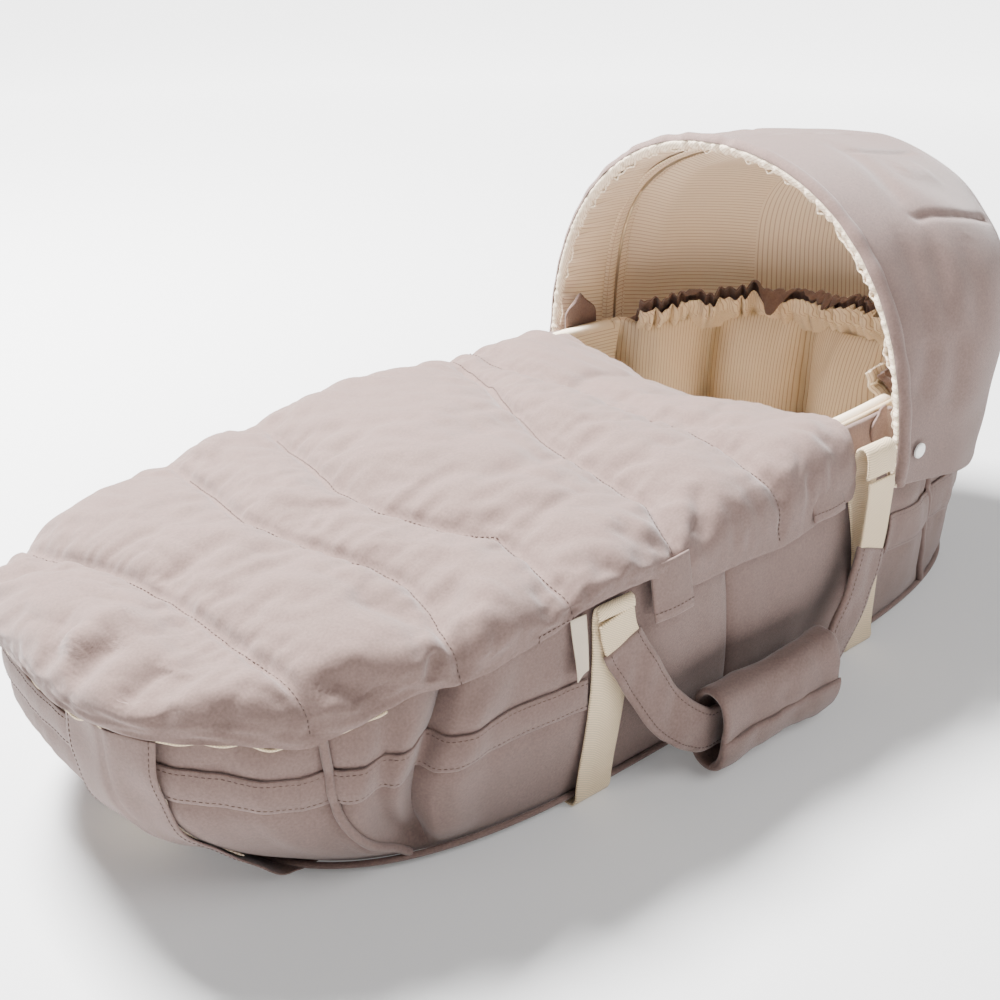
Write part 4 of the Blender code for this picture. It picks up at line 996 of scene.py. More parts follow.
# Grip wrap
# A padded flap of the cotton wrapped once round the near handle, its free edge overlapping and held
# by a hidden fastener, so that the flap's ends gape a little.
GRIP_HALF_WIDTH = 26 * MM
GRIP_HALF_THICK = 10.5 * MM
GRIP_SQUARENESS = 2.8
GRIP_PAD = 5 * MM

turn = np.linspace(-0.35 * math.pi, 1.95 * math.pi, 72)[None, :]
x = np.linspace(GRIP_START, GRIP_END, 42)[:, None]
c, s = np.cos(turn), np.sin(turn)
scale = superellipse(c, s, GRIP_SQUARENESS)
length_share = (x - GRIP_START) / (GRIP_END - GRIP_START)
overlap = smooth(1.35 * math.pi, 1.8 * math.pi, turn)
spot = stacked(x, 0.03 * turn)
crumple = 0.9 * MM * ripple(spot * (1.0, 0.35), 0.040, 61) + 0.4 * MM * ripple(spot, 0.016, 62)
swell = 1 + 0.05 * np.cos(2 * math.pi * length_share)
y = -GRIP_OUT - (GRIP_HALF_THICK * swell + crumple + 3.2 * MM * overlap) * c * scale
z = GRIP_HEIGHT + (GRIP_HALF_WIDTH * swell + 0.6 * crumple + 1.5 * MM * overlap) * s * scale
wrap = stacked(x, y, z)
grip = shell("grip_wrap_pad", wrap, GRIP_PAD, taupe_cotton, inward=-1)
place(grip, "handle_near", "taupe_cotton", "grip_sleeve_near")
for name, row in (("front", 2), ("rear", -3)):
    outward = unit((wrap[row] - [0, -GRIP_OUT, GRIP_HEIGHT]) * [0, 1, 1])
    place(stitches(f"grip_wrap_stitches_{name}", wrap[row], outward), "handle_near", "taupe_cotton")


# Foot cover
# Two layers of the cotton with wadding between, quilted along seams that cross it, so that it puffs
# and wrinkles between them. Its hem hangs over the rim, drawn in round the foot by elastic.
COVER_THICK = 4.6 * MM
COVER_OUT = 8.4 * MM
COVER_EDGE_HEIGHT = 0.148
COVER_HEAD_X = 0.131
COVER_TURN_X = -0.19
COVER_TURN_REACH = 0.150
COVER_FOOT_X = -0.424
COVER_STEP = 5 * MM
COVER_STATIONS = (-0.42, -0.33, -0.225, -0.13, -0.03, 0.075, 0.13, 0.16)
COVER_TOPS = (0.160, 0.170, 0.177, 0.182, 0.187, 0.196, 0.203, 0.204)
HEM_STATIONS = (-0.42, -0.36, -0.325, -0.29, -0.26, -0.205, -0.16, -0.14, -0.075, -0.035, 0.07, 0.131)
HEM_HEIGHTS = (0.141, 0.138, 0.129, 0.134, 0.145, 0.143, 0.152, 0.161, 0.161, 0.140, 0.139, 0.150)
EDGE_ROLL = ((0.0, 0.0), (0.22, 0.0), (0.44, 0.0), (0.66, 0.0), (0.84, 0.0), (0.93, 0.10), (0.975, 0.30),
             (0.998, 0.62), (1.0, 1.0))
EDGE_SIZE = (185 * MM, 47 * MM)
QUILT_SEAM_Y = (-0.20, -0.165, -0.14, -0.11, -0.08, -0.02, 0.04, 0.10, 0.18)
QUILT_SEAMS = ((-0.300, -0.315, -0.319, -0.322, -0.323, -0.327, -0.337, -0.355, -0.370),
               (-0.226, -0.226, -0.216, -0.210, -0.214, -0.232, -0.244, -0.235, -0.232),
               (-0.143, -0.145, -0.138, -0.134, -0.149, -0.170, -0.171, -0.159, -0.147),
               (-0.058, -0.045, -0.034, -0.030, -0.027, -0.020, -0.003, 0.020, 0.040),
               (0.052, 0.048, 0.055, 0.062, 0.066, 0.066, 0.064, 0.062, 0.060))
QUILT_PUFF = 11 * MM
FAR_DROP = ((-0.42, -0.30, -0.05, 0.06, 0.16), (13 * MM, 13 * MM, 10 * MM, 14 * MM, 18 * MM))
HEAD_EDGE = ((-0.19, -0.172, -0.15, -0.12, -0.064, -0.008, 0.06, 0.11, 0.17, 0.19),
             (0.202, 0.202, 0.198, 0.190, 0.176, 0.159, 0.155, 0.163, 0.170, 0.169))
CLOTH_FRAMES = 20
CLOTH_SETTINGS = {"quality": 6, "mass": 0.2, "tension_stiffness": 12.0, "compression_stiffness": 12.0,
                  "shear_stiffness": 4.8, "bending_stiffness": 0.8, "use_pressure": True,
                  "uniform_pressure_force": 4.0, "vertex_group_mass": "held", "shrink_min": -0.03}
LOOSE_LIMIT = 9 * MM
FOLD_REACH = 0.04
UNDER_COVER = 0.10


def edge_roll(step):
    """From the cover's middle line out to its hem: how far out, and how far down, each as a share."""
    curve = curve_through(np.array(EDGE_ROLL) * EDGE_SIZE, step) / EDGE_SIZE
    return np.clip(curve[:, 0], 0, 1), np.clip(curve[:, 1], 0, 1)


def from_quilt_seams(x, y):
    """Signed distance along the cot to the nearest quilting seam."""
    gaps = x - np.stack([np.interp(y, QUILT_SEAM_Y, stations) for stations in QUILT_SEAMS])
    nearest = np.argmin(np.abs(gaps), axis=0)
    return np.take_along_axis(gaps, nearest[None], axis=0)[0]


def head_overhang(y):
    """How far the cover's head edge reaches past its straight line, at y across the cot."""
    return 0.07 * (y + 0.18) + 16 * MM * (1 - (y / 0.19) ** 2)


def cover_rest():
    """The cover before its cloth is loosened: columns at plan angles from the near head end round the
    foot to the far one, and rings from the middle line out. Past COVER_TURN_X the columns fan out over
    the foot. Also each point's place in flat cloth."""
    near = spread(angle_at(COVER_HEAD_X, -1), -math.pi, COVER_STEP)
    angle = np.concatenate([near, -2 * math.pi - near[-2::-1]])
    edge = wall(angle, COVER_EDGE_HEIGHT, COVER_OUT)
    x = edge[:, :1]
    toward_foot = smooth(COVER_TURN_X, COVER_FOOT_X, x)
    middle_x = np.where(x > COVER_TURN_X, x, COVER_TURN_X - COVER_TURN_REACH * toward_foot)
    ring, fall = (a[None, :] for a in edge_roll(COVER_STEP))
    px = middle_x + (x - middle_x) * ring
    py = edge[:, 1:2] * ring
    hem = np.interp(x, HEM_STATIONS, HEM_HEIGHTS)
    gap = from_quilt_seams(px, py)
    puff = QUILT_PUFF * (1 - np.exp(-np.abs(gap) / 0.020)) * (1 - 0.7 * fall) - 4 * MM * (1 - fall)
    far_drop = np.interp(px, *FAR_DROP) * smooth(0.0, 0.17, py)
    level = np.interp(px, COVER_STATIONS, COVER_TOPS) - far_drop - 2 * MM
    to_head = np.clip((px - 0.01) / 0.13, 0, 1) ** 1.4
    level = level + (np.interp(py, *HEAD_EDGE) - level) * to_head
    pz = level + puff * (1 - 0.6 * to_head) - (level - hem) * fall
    shift = head_overhang(py) * np.where(py > 0, smooth(0.97, 0.90, ring), smooth(1.0, 0.93, ring))
    px = px + np.clip((px - 0.02) / 0.11, 0, 1) * shift
    grid = stacked(px, py, pz)
    walk = np.cumsum(np.linalg.norm(np.diff(grid, axis=1), axis=2), axis=1)
    walk = np.concatenate([np.zeros((len(grid), 1)), walk], axis=1)[..., None]
    heading = unit((edge - grid[:, 0])[:, None, :2])
    flat = grid[:, :1, :2] + walk * heading
    return grid, np.concatenate([flat, np.broadcast_to(fall, flat.shape[:2])[..., None]], axis=-1)


def sheet_faces(grid, folded):
    """Faces of a grid of points. Where its first ring is folded on itself, column i meets its mirror
    column there."""
    index = np.arange(grid.shape[0] * grid.shape[1]).reshape(grid.shape[:2])
    if folded:
        index[:, 0] = np.minimum(index[:, 0], index[::-1, 0])
    return np.stack([index[:-1, :-1], index[:-1, 1:], index[1:, 1:], index[1:, :-1]], axis=-1).reshape(-1, 4)


def welded(made, reach):
    """Join points closer than reach and drop loose ones."""
    shape = bmesh.new()
    shape.from_mesh(made.data)
    bmesh.ops.remove_doubles(shape, verts=shape.verts, dist=reach)
    bmesh.ops.delete(shape, geom=[v for v in shape.verts if not v.link_faces], context="VERTS")
    shape.to_mesh(made.data)
    shape.free()


def read(things, field, width=3):
    """A vector for each of a mesh's vertices or the like."""
    values = np.empty(width * len(things), np.float32)
    things.foreach_get(field, values)
    return values.reshape(-1, width)


def points_of(made):
    """A mesh's points."""
    return read(made.data.vertices, "co").astype(float)


def normals_at(made):
    """The normals at a mesh's points."""
    return read(made.data.vertex_normals, "vector").astype(float)


def face_away(made, centre):
    """Turn a sheet's faces so that they look away from a point inside it."""
    if np.sum(normals_at(made) * (points_of(made) - centre)) < 0:
        made.data.flip_normals()


def put_points(made, points):
    """Move a mesh's points."""
    made.data.vertices.foreach_set("co", points.astype(np.float32).ravel())
    made.data.update()


def loosened(made, held):
    """Let a sheet puff and wrinkle as cloth under a pressure from below: held is 1 where a point is
    sewn down. No point moves further than LOOSE_LIMIT."""
    rest = points_of(made)
    group = made.vertex_groups.new(name="held")
    steps = np.round(np.clip(held, 0, 1) * 8) / 8
    for level in np.unique(steps[steps > 0]):
        group.add(np.nonzero(steps == level)[0].tolist(), float(level), "REPLACE")
    cloth = made.modifiers.new("cloth", "CLOTH")
    for setting, value in CLOTH_SETTINGS.items():
        setattr(cloth.settings, setting, value)
    cloth.settings.effector_weights.gravity = 0.0
    cloth.collision_settings.use_collision = False
    cloth.point_cache.frame_end = CLOTH_FRAMES
    for number in range(1, CLOTH_FRAMES + 1):
        bpy.context.scene.frame_set(number)
    move = points_of(made.evaluated_get(bpy.context.evaluated_depsgraph_get())) - rest
    size = np.linalg.norm(move, axis=1, keepdims=True)
    move = move * LOOSE_LIMIT * np.tanh(size / LOOSE_LIMIT) / np.maximum(size, 1e-9)
    made.modifiers.remove(cloth)
    made.vertex_groups.remove(group)
    bpy.context.scene.frame_set(1)
    put_points(made, rest + move)


def refined(made):
    """Apply one subdivision."""
    finer = made.modifiers.new("finer", "SUBSURF")
    finer.levels = finer.render_levels = 1
    evaluated = made.evaluated_get(bpy.context.evaluated_depsgraph_get())
    mesh = bpy.data.meshes.new_from_object(evaluated)
    made.modifiers.clear()
    made.data = mesh
    mesh.shade_smooth()


def thickened(made, thick, thinner=None):
    """Give a sheet its wall, behind the seen face, and round its edges. thinner gives each point's share
    of the thickness, in steps of a tenth."""
    wall_of = made.modifiers.new("thickness", "SOLIDIFY")
    wall_of.thickness = thick
    wall_of.offset = -1.0
    if thinner is not None:
        share_of = made.vertex_groups.new(name="thickness_share")
        tenths = np.round(10 * thinner)
        for tenth in np.unique(tenths):
            share_of.add(np.nonzero(tenths == tenth)[0].tolist(), float(tenth) / 10, "REPLACE")
        wall_of.vertex_group = share_of.name
        thick = thick * float(np.min(thinner))
    rounding = made.modifiers.new("rounded_edge", "BEVEL")
    rounding.width = 0.42 * thick
    rounding.segments = 3
    rounding.limit_method = "ANGLE"
    rounding.angle_limit = math.radians(65)


def pulled(points, facing, folds):
    """Listed folds. Each is a depth, a width, a fade (all but the last in millimetres) and a path
    on the cloth; the cloth sinks, or rises where the depth is negative, by a bell curve of the distance
    to the path, which fades over the path's ends."""
    for depth, width, fade, path in folds:
        path = curve_through(np.array(path) * MM)
        low, high = path.min(axis=0) - FOLD_REACH, path.max(axis=0) + FOLD_REACH
        close = np.nonzero(np.all((points > low) & (points < high), axis=1))[0]
        gaps = np.linalg.norm(points[close, None] - path[None], axis=2)
        share = np.argmin(gaps, axis=1) / (len(path) - 1)
        sunk = depth * MM * np.exp(-(gaps.min(axis=1) / (width * MM)) ** 2)
        sunk = sunk * smooth(-1e-6, fade + 1e-6, share) * smooth(1 + 1e-6, 1 - fade - 1e-6, share)
        points[close] -= sunk[:, None] * facing[close]
    return points


COVER_FOLDS = (
    (-6, 13, 0.3, ((-353, -29, 175), (-382, -34, 173), (-408, -41, 170))),
    (6, 9, 0.3, ((-372, -52, 174), (-392, -57, 173), (-404, -59, 171), (-416, -50, 162))),
    (3, 7, 0.5, ((-398, -40, 172), (-408, -58, 169), (-414, -68, 155))),
    (8, 10, 0.3, ((-358, -88, 173), (-381, -94, 173), (-393, -96, 170), (-402, -98, 158))),
    (9, 13, 0.35, ((-258, -96, 183), (-243, -120, 183), (-235, -134, 183), (-229, -150, 182),
                   (-226, -168, 180))),
    (7, 9, 0.35, ((-185, -126, 185), (-205, -138, 183), (-218, -150, 182), (-226, -168, 181))),
    (8, 6, 0.2, ((-226, -156, 181), (-226, -174, 177), (-225, -179, 171), (-225, -184, 162),
                 (-226, -189, 148))),
    (-5, 12, 0.3, ((-204, -158, 182), (-206, -172, 177), (-207, -184, 165), (-207, -189, 152))),
    (-5, 12, 0.3, ((-246, -158, 182), (-246, -172, 176), (-246, -181, 165), (-245, -186, 152))),
    (7, 5, 0.3, ((-237, -175, 172), (-243, -181, 163), (-250, -184, 152))),
    (8, 10, 0.3, ((-312, -152, 171), (-294, -168, 164), (-280, -175, 155), (-268, -178, 152))),
    (3, 10, 0.3, ((-237, 31, 181), (-212, 9, 185), (-195, -5, 187), (-177, -17, 188), (-168, -42, 188))),
    (4, 11, 0.25, ((-165, 89, 179), (-172, 19, 186), (-132, -10, 187), (-92, -55, 192), (-67, -66, 193))),
    (3, 9, 0.3, ((-226, -36, 181), (-206, -33, 184), (-190, -34, 187), (-167, -57, 188))),
    (3, 12, 0.3, ((-291, 93, 174), (-279, 59, 179), (-250, 29, 182))),
    (6, 9, 0.25, ((-3, -150, 197), (-13, -169, 194), (-21, -178, 187), (-36, -189, 174))),
    (6, 9, 0.3, ((-80, -150, 194), (-75, -174, 191), (-65, -184, 185), (-60, -190, 172))),
    (4, 4, 0.3, ((80, -183, 190), (81, -192, 172), (82, -194, 156))),
    (3, 4, 0.3, ((106, -183, 195), (104, -191, 178), (106, -194, 160))),
    (3.5, 8, 0.3, ((-100, -112, 192), (-82, -111, 194), (-64, -109, 195), (-41, -120, 194),
                   (-31, -132, 194))),
    (4, 12, 0.3, ((-87, 6, 190), (-63, 15, 190), (-42, 15, 193), (-10, -4, 198), (-8, -41, 198))),
    (6, 10, 0.3, ((-16, 10, 197), (-13, -34, 197), (-10, -51, 197), (4, -67, 199))),
    (3, 8, 0.3, ((-173, -48, 188), (-164, -69, 189), (-147, -80, 188), (-126, -96, 189), (-120, -105, 189))),
    (4, 9, 0.3, ((92, 70, 180), (86, 45, 184), (84, 20, 184), (86, -11, 186))),
    (5, 5, 0.3, ((-123, -110, 189), (-135, -142, 187), (-145, -167, 186), (-143, -189, 174))),
    (5, 5, 0.3, ((-32, -125, 193), (-45, -165, 192), (-55, -186, 182), (-58, -192, 166))),
    (5, 5, 0.3, ((55, -140, 200), (47, -174, 198), (46, -189, 179), (60, -194, 154))),
)

rest, flat = cover_rest()
cover = add_piece("cover_quilt_cloth", rest.reshape(-1, 3), sheet_faces(rest, folded=True),
                  flat[..., :2].reshape(-1, 2), taupe_cotton)
falls = cover.data.attributes.new("fall", "FLOAT", "POINT")
falls.data.foreach_set("value", flat[..., 2].astype(np.float32).ravel())
welded(cover, 1.6 * MM)
face_away(cover, [-0.15, 0.0, 0.0])
spots = points_of(cover)
fall = read(cover.data.attributes["fall"].data, "value", 1)[:, 0]
gap = from_quilt_seams(spots[:, 0], spots[:, 1])
held = 0.9 * smooth(7 * MM, 3 * MM, np.abs(gap)) * (fall < 0.2)
held = np.maximum(held, smooth(0.55, 0.95, fall))
head_line = COVER_HEAD_X + head_overhang(spots[:, 1])
held = np.maximum(held, 0.6 * smooth(-10 * MM, -4 * MM, spots[:, 0] - head_line))
loosened(cover, held)
refined(cover)

spots, facing = points_of(cover), normals_at(cover)
fall = read(cover.data.attributes["fall"].data, "value", 1)[:, 0]
gap = from_quilt_seams(spots[:, 0], spots[:, 1])
on_top = smooth(0.35, 0.1, fall)
groove = 3.4 * MM * np.exp(-(gap / 0.0042) ** 2) * smooth(0.95, 0.7, fall) * smooth(0.175, 0.13, spots[:, 1])
spots = spots - groove[:, None] * facing
beside = np.exp(-np.abs(gap) / 0.016) * (1 - np.exp(-np.abs(gap) / 0.004)) * on_top
puckers = ripple(stacked(0.22 * gap, spots[:, 1]), 0.016, 71) + 0.6 * ripple(spots[:, 1:2], 0.009, 72)
spots = spots + (0.8 * MM * beside * puckers)[:, None] * facing
turns = np.linspace(-math.pi, math.pi, 400)
around = np.interp(np.arctan2(spots[:, 1], spots[:, 0] - WIDEST_X), turns, walked(turns))
near_hem = smooth(0.25, 0.9, fall)
gathers = ripple(stacked(around, 0.10 * fall), 0.020, 73) + 0.5 * ripple(around[:, None], 0.011, 74)
gathered = 0.35 + 0.65 * smooth(-0.20, -0.30, spots[:, 0])
spots = spots + (0.7 * MM * near_hem * gathers * gathered)[:, None] * facing
slanted = spots[:, :2] @ np.array([[0.9, 0.35], [0.45, -0.30]])
creases, finer = (np.sqrt(0.02 + ripple(slanted, size, seed) ** 2)
                  for size, seed in ((0.050, 75), (0.027, 76)))
creases = creases + 0.6 * finer
spots = spots + (1.7 * MM * (creases - 0.8) * smooth(0.8, 0.3, fall))[:, None] * facing
spots = pulled(spots, facing, COVER_FOLDS)
put_points(cover, spots)
surface = BVHTree.FromPolygons(spots.tolist(), [list(face.vertices) for face in cover.data.polygons])
for number, stations in enumerate(QUILT_SEAMS, 1):
    path = []
    for lean in np.radians(np.linspace(24, 166, 150)):
        aim = (0.0, math.cos(lean), math.sin(lean))
        first = surface.ray_cast((float(np.mean(stations)), 0.0, UNDER_COVER), aim)[0]
        x = float(np.interp(first[1] if first else 0.0, QUILT_SEAM_Y, stations))
        path.append(surface.ray_cast((x, 0.0, UNDER_COVER), aim))
    seam, normals = (np.array([hit[k] for hit in path if hit[0]]) for k in (0, 1))
    upward = np.sum(normals * (seam - [0.0, 0.0, UNDER_COVER]) * [0, 1, 1], axis=1)
    normals = normals * np.sign(upward)[:, None]
    place(stitches(f"quilting_stitches_{number}", seam, normals, lift=0.35 * MM), "cover", "taupe_cotton")
place(cover, "cover", "taupe_cotton", "cover_quilt")
thickened(cover, COVER_THICK, 1 - 0.5 * smooth(0.55, 0.98, fall))


# Hood
# The padded outer shell of the hood in one piece: its front is a barrel, and its rear is drawn
# together at the ridge's end and falls round the head end. On the cot the front is on the bow and folds back,
# and the rear is sewn down, so that the cloth between bends; here the shell is built open and fixed.
HOOD_FRONT_X = 0.181
HOOD_REAR_START_X = 0.250
HOOD_HALF_WIDTH = 0.195
HOOD_REAR_REACH = 0.179
HOOD_REAR_SQUARENESS = 1.75
HOOD_RIDGE_END_X = 0.379
HOOD_ARCH = 2.2
HOOD_BULGE = 0.27
HOOD_RIDGE = ((0.177, 0.270, 0.379), (0.372, 0.366, 0.351))
HOOD_HEM = ((0.177, 0.289, 0.460), (0.150, 0.130, 0.130))
HOOD_THICK = 4.6 * MM
HOOD_STEP = 5 * MM


def hood_column(x, y, ridge_x, rise, inset):
    """One arch's side, from its foot (rise 0) to the ridge (a quarter turn): across, the cosine to the
    power 2 / 2.2 plus a bulge; up, the sine to the same power."""
    base = np.interp(x, *HOOD_HEM)
    top = np.interp(ridge_x, *HOOD_RIDGE) - inset
    bulge = HOOD_BULGE * np.sin(2 * rise) ** 2 * np.clip((x - 0.177) / 0.2, 0, 1)
    lateral = np.clip(np.cos(rise), 0, 1) ** (2 / HOOD_ARCH) + bulge
    lateral = np.where(rise > math.pi / 2 - 1e-6, 0.0, lateral)
    height = np.sin(rise) ** (2 / HOOD_ARCH)
    return stacked(ridge_x + (x - ridge_x) * lateral, y * lateral, base + (top - base) * height)


def hood_plan(turn, inset=0.0):
    """Feet of the hood's columns round the head: a superellipse about the middle of the hood's rear."""
    c, s = np.cos(turn), np.sin(turn)
    scale = superellipse(c, s, HOOD_REAR_SQUARENESS)
    return HOOD_REAR_START_X + (HOOD_REAR_REACH - inset) * c * scale, (HOOD_HALF_WIDTH - inset) * s * scale


def hood_grid():
    """The hood from its near front edge round the head to its far one, each column from the ridge
    down to the hem."""
    x, y = hood_plan(np.linspace(-math.pi / 2, math.pi / 2, int(0.53 / HOOD_STEP) | 1)[:, None])
    front_x = HOOD_FRONT_X + 2 * MM
    count = int((HOOD_REAR_START_X - front_x) / HOOD_STEP) + 2
    barrel = np.linspace(front_x, HOOD_REAR_START_X, count)[:-1, None]
    side = np.full_like(barrel, HOOD_HALF_WIDTH)
    x = np.concatenate([barrel, x, barrel[::-1]])
    y = np.concatenate([-side, y, side])
    rise = np.linspace(math.pi / 2, 0, int(0.36 / HOOD_STEP))[None, :]
    return hood_column(x, y, np.minimum(x, HOOD_RIDGE_END_X), rise, 0.0)


def bend(piece, slot, *nodes):
    """Bake a piece's placing into its mesh and hide the solids that it dresses. The slot is not
    used."""
    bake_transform(piece)
    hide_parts(*nodes)


HOOD_FOLDS = (
    (3.0, 4, 0.12, ((262, -50, 366), (275, -57, 363), (295, -58, 358), (328, -56, 352), (358, -50, 342))),
    (3.2, 4, 0.12, ((241, -127, 336), (245, -135, 331), (259, -136, 330), (279, -140, 328), (316, -140, 320),
                    (352, -131, 308))),
    (-3, 14, 0.3, ((275, -88, 355), (300, -92, 350), (330, -92, 342))),
    (2.5, 10, 0.4, ((222, -128, 332), (218, -144, 317), (215, -167, 283), (212, -182, 245))),
    (2.5, 9, 0.4, ((252, -140, 326), (243, -153, 312), (238, -168, 288), (232, -184, 245))),
    (2.5, 12, 0.4, ((285, -146, 318), (274, -155, 315), (270, -178, 275), (262, -188, 230))),
    (3, 9, 0.3, ((262, -20, 368), (260, -57, 364), (252, -89, 355), (245, -113, 344), (238, -130, 332))),
    (3, 12, 0.3, ((216, -178, 260), (209, -186, 233), (195, -189, 206))),
    (3, 14, 0.3, ((246, -183, 262), (243, -190, 225), (239, -192, 186))),
)

outer = hood_grid()
hood = add_piece("hood_outer_cloth", outer.reshape(-1, 3), sheet_faces(outer, folded=True),
                 metres(outer).reshape(-1, 2), taupe_cotton)
welded(hood, 0.8 * MM)
face_away(hood, [0.30, 0.0, 0.1])
refined(hood)
spots, facing = points_of(hood), normals_at(hood)
soft = 1.6 * MM * ripple(spots, 0.13, 81) + 0.6 * MM * ripple(spots, 0.055, 82)
spots = spots + soft[:, None] * facing
for _, side in SIDES:
    spots = pulled(spots, facing, [(*fold, np.array(path) * [1, -side, 1]) for *fold, path in HOOD_FOLDS])
put_points(hood, spots)
bend(hood, "taupe_cotton", "hood_brim", "hood_canopy")
thickened(hood, HOOD_THICK)


# Hood front edge
# The outer cloth and the striped lining are drawn over a thick soft roll, with small tucks on the
# mauve side and dense gathers on the striped one, which shows as a narrow ruffled strip.
ROLL_RADIUS = 6.5 * MM
ROLL_STEP = 1.6 * MM


def arch(x, turn, inset):
    """The hood's whole arch at station x, from its near foot over the top to its far foot."""
    near = turn < math.pi / 2
    rise = np.where(near, turn, math.pi - turn)
    y = np.where(near, -1, 1) * (HOOD_HALF_WIDTH - inset)
    return hood_column(np.asarray(x, float), y, np.asarray(x, float), rise, inset)


def roll_piece(name, start, end, radius, finish, slot, *nodes):
    """Part of the roll's round section, between two turns about its middle line, along the arch."""
    line = resampled(arch(HOOD_FRONT_X, np.linspace(0, math.pi, 420), 3 * MM), ROLL_STEP)[0]
    ahead = unit(np.gradient(line, axis=0))
    out = unit(np.cross(ahead, [1.0, 0.0, 0.0]))
    out = out * np.sign(out[len(out) // 2, 2])
    walk = np.arange(len(line)) * ROLL_STEP
    angle = np.linspace(start, end, 15)[None, :]
    size = radius(walk[:, None], angle)[..., None]
    angle = angle[..., None]
    grid = line[:, None] + size * (np.cos(angle) * out[:, None] + np.sin(angle) * np.array([-1.0, 0.0, 0.0]))
    turned = turned_to(grid, grid[200, 7] - line[200], 200, 7)
    place(shell(name, grid, 1.0 * MM, finish, inward=turned), "hood_front", slot, *nodes)


def tucked(walk, angle):
    """The roll's radius under the mauve cloth: slow folds, and a few pinched tucks in front."""
    folds = ripple(walk[..., None], 0.034, 91) * np.ones_like(angle)
    pinch = np.clip(ripple(walk[..., None], 0.05, 92) - 0.75, 0, 1)
    return ROLL_RADIUS + 0.5 * MM * folds - 2.4 * MM * pinch * np.cos(angle - 0.6)


def ruffled(walk, angle):
    """The roll's radius under the striped cloth, which is densely gathered."""
    gathers = 0.6 * ripple(walk[..., None], 0.0075, 93) + 0.4 * ripple(walk[..., None], 0.015, 94)
    return ROLL_RADIUS + ((0.8 * gathers + 1.4) * smooth(0.40 * math.pi, 0.50 * math.pi, angle) - 1.6) * MM


roll_piece("hood_roll_outer", -0.5 * math.pi, 0.42 * math.pi, tucked, taupe_cotton, "taupe_cotton",
           "hood_front_roll")
roll_piece("hood_roll_lining", 0.36 * math.pi, 0.98 * math.pi, ruffled, striped_cotton, "striped_cotton")


# Hood lining
# The striped cotton inside the hood: a barrel whose stripes run front to back, gathered where it meets
# the roll, and a back panel whose stripes stand upright, joined to it at a seam.
LINING_INSET = 10.0 * MM
LINING_THICK = 1.6 * MM
BACK_SEAM_X = 0.372
EASED_BY = 13 * MM


def eased_in(points):
    """The lining hangs up to 13 mm further in where the hood bends, clear of the outer cloth."""
    depth = EASED_BY * smooth(0.247, 0.29, points[..., :1]) * smooth(0.17, 0.25, points[..., 2:])
    return points + depth * unit(np.array([0.27, 0.0, 0.20]) - points)


turns = np.linspace(-math.pi / 2, 0, 400)
seam_turn = np.interp(BACK_SEAM_X, hood_plan(turns, LINING_INSET)[0], turns)
rear_x, rear_y = hood_plan(np.linspace(-math.pi / 2, seam_turn, 34), LINING_INSET)
front_x = np.linspace(HOOD_FRONT_X - 2 * MM, HOOD_REAR_START_X, 30)[:-1]
x = np.concatenate([front_x, rear_x])[:, None]
y = np.concatenate([np.full(len(front_x), -(HOOD_HALF_WIDTH - LINING_INSET)), rear_y])[:, None]
turn = np.linspace(0, math.pi, 421)[None, :]
near = turn < math.pi / 2
rise = np.where(near, turn, math.pi - turn)
ridge_x = np.minimum(x, HOOD_RIDGE_END_X - LINING_INSET)
barrel = hood_column(x, np.where(near, y, -y), ridge_x, rise, LINING_INSET)
around = metres(barrel)[0, :, 1]
spot = stacked(around[None, :], 0.15 * x)
gathers = (ripple(spot, 0.010, 101) + 0.6 * ripple(spot, 0.021, 102)) * np.exp(-(x - front_x[0]) / 0.022)
folds = ripple(spot, 0.085, 103) * smooth(0.19, 0.25, x) * smooth(BACK_SEAM_X, 0.33, x)
inward = -normals_of(barrel)
inward = inward * np.sign(inward[20, 210, 2] * -1)
barrel = eased_in(barrel + (2.3 * MM * gathers + 1.8 * MM * folds)[..., None] * inward)
strip_uv = stacked(around[None, :], metres(barrel)[..., 0])
turned = turned_to(barrel, inward[20, 210], 20, 210)
front_lining = shell("hood_lining_barrel", barrel, LINING_THICK, striped_cotton, uv=strip_uv, inward=turned)
bend(front_lining, "striped_cotton", "hood_brim_lining", "hood_lining")

x, y = hood_plan(np.linspace(seam_turn, -seam_turn, 75)[:, None], LINING_INSET)
rise = np.linspace(math.pi / 2, 0, 60)[None, :]
back = hood_column(x, y, np.full_like(x, HOOD_RIDGE_END_X - LINING_INSET), rise, LINING_INSET)
soft = 1.2 * MM * (1 + ripple(stacked(y, 0.3 * rise), 0.06, 104)) * np.sin(2 * rise)
back = eased_in(back - soft[..., None] * unit(back - np.array([0.25, 0.0, 0.2])))
back_uv = stacked(y, 0.23 * rise).reshape(-1, 2)
back_faces = sheet_faces(back, folded=False)[:, ::-1]
back_lining = add_piece("hood_lining_back", back.reshape(-1, 3), back_faces, back_uv, striped_cotton)
welded(back_lining, 0.2 * MM)
face_away(back_lining, [0.60, 0.0, 0.2])
bend(back_lining, "striped_cotton", "hood_lining")
thickened(back_lining, LINING_THICK)


# Bow casing
# A tape of the striped cotton sewn inside the hood along both its edges with tan thread. It stands
# a little off the lining, because the springy bow runs in it.
CASING_X = (0.232, 0.260)

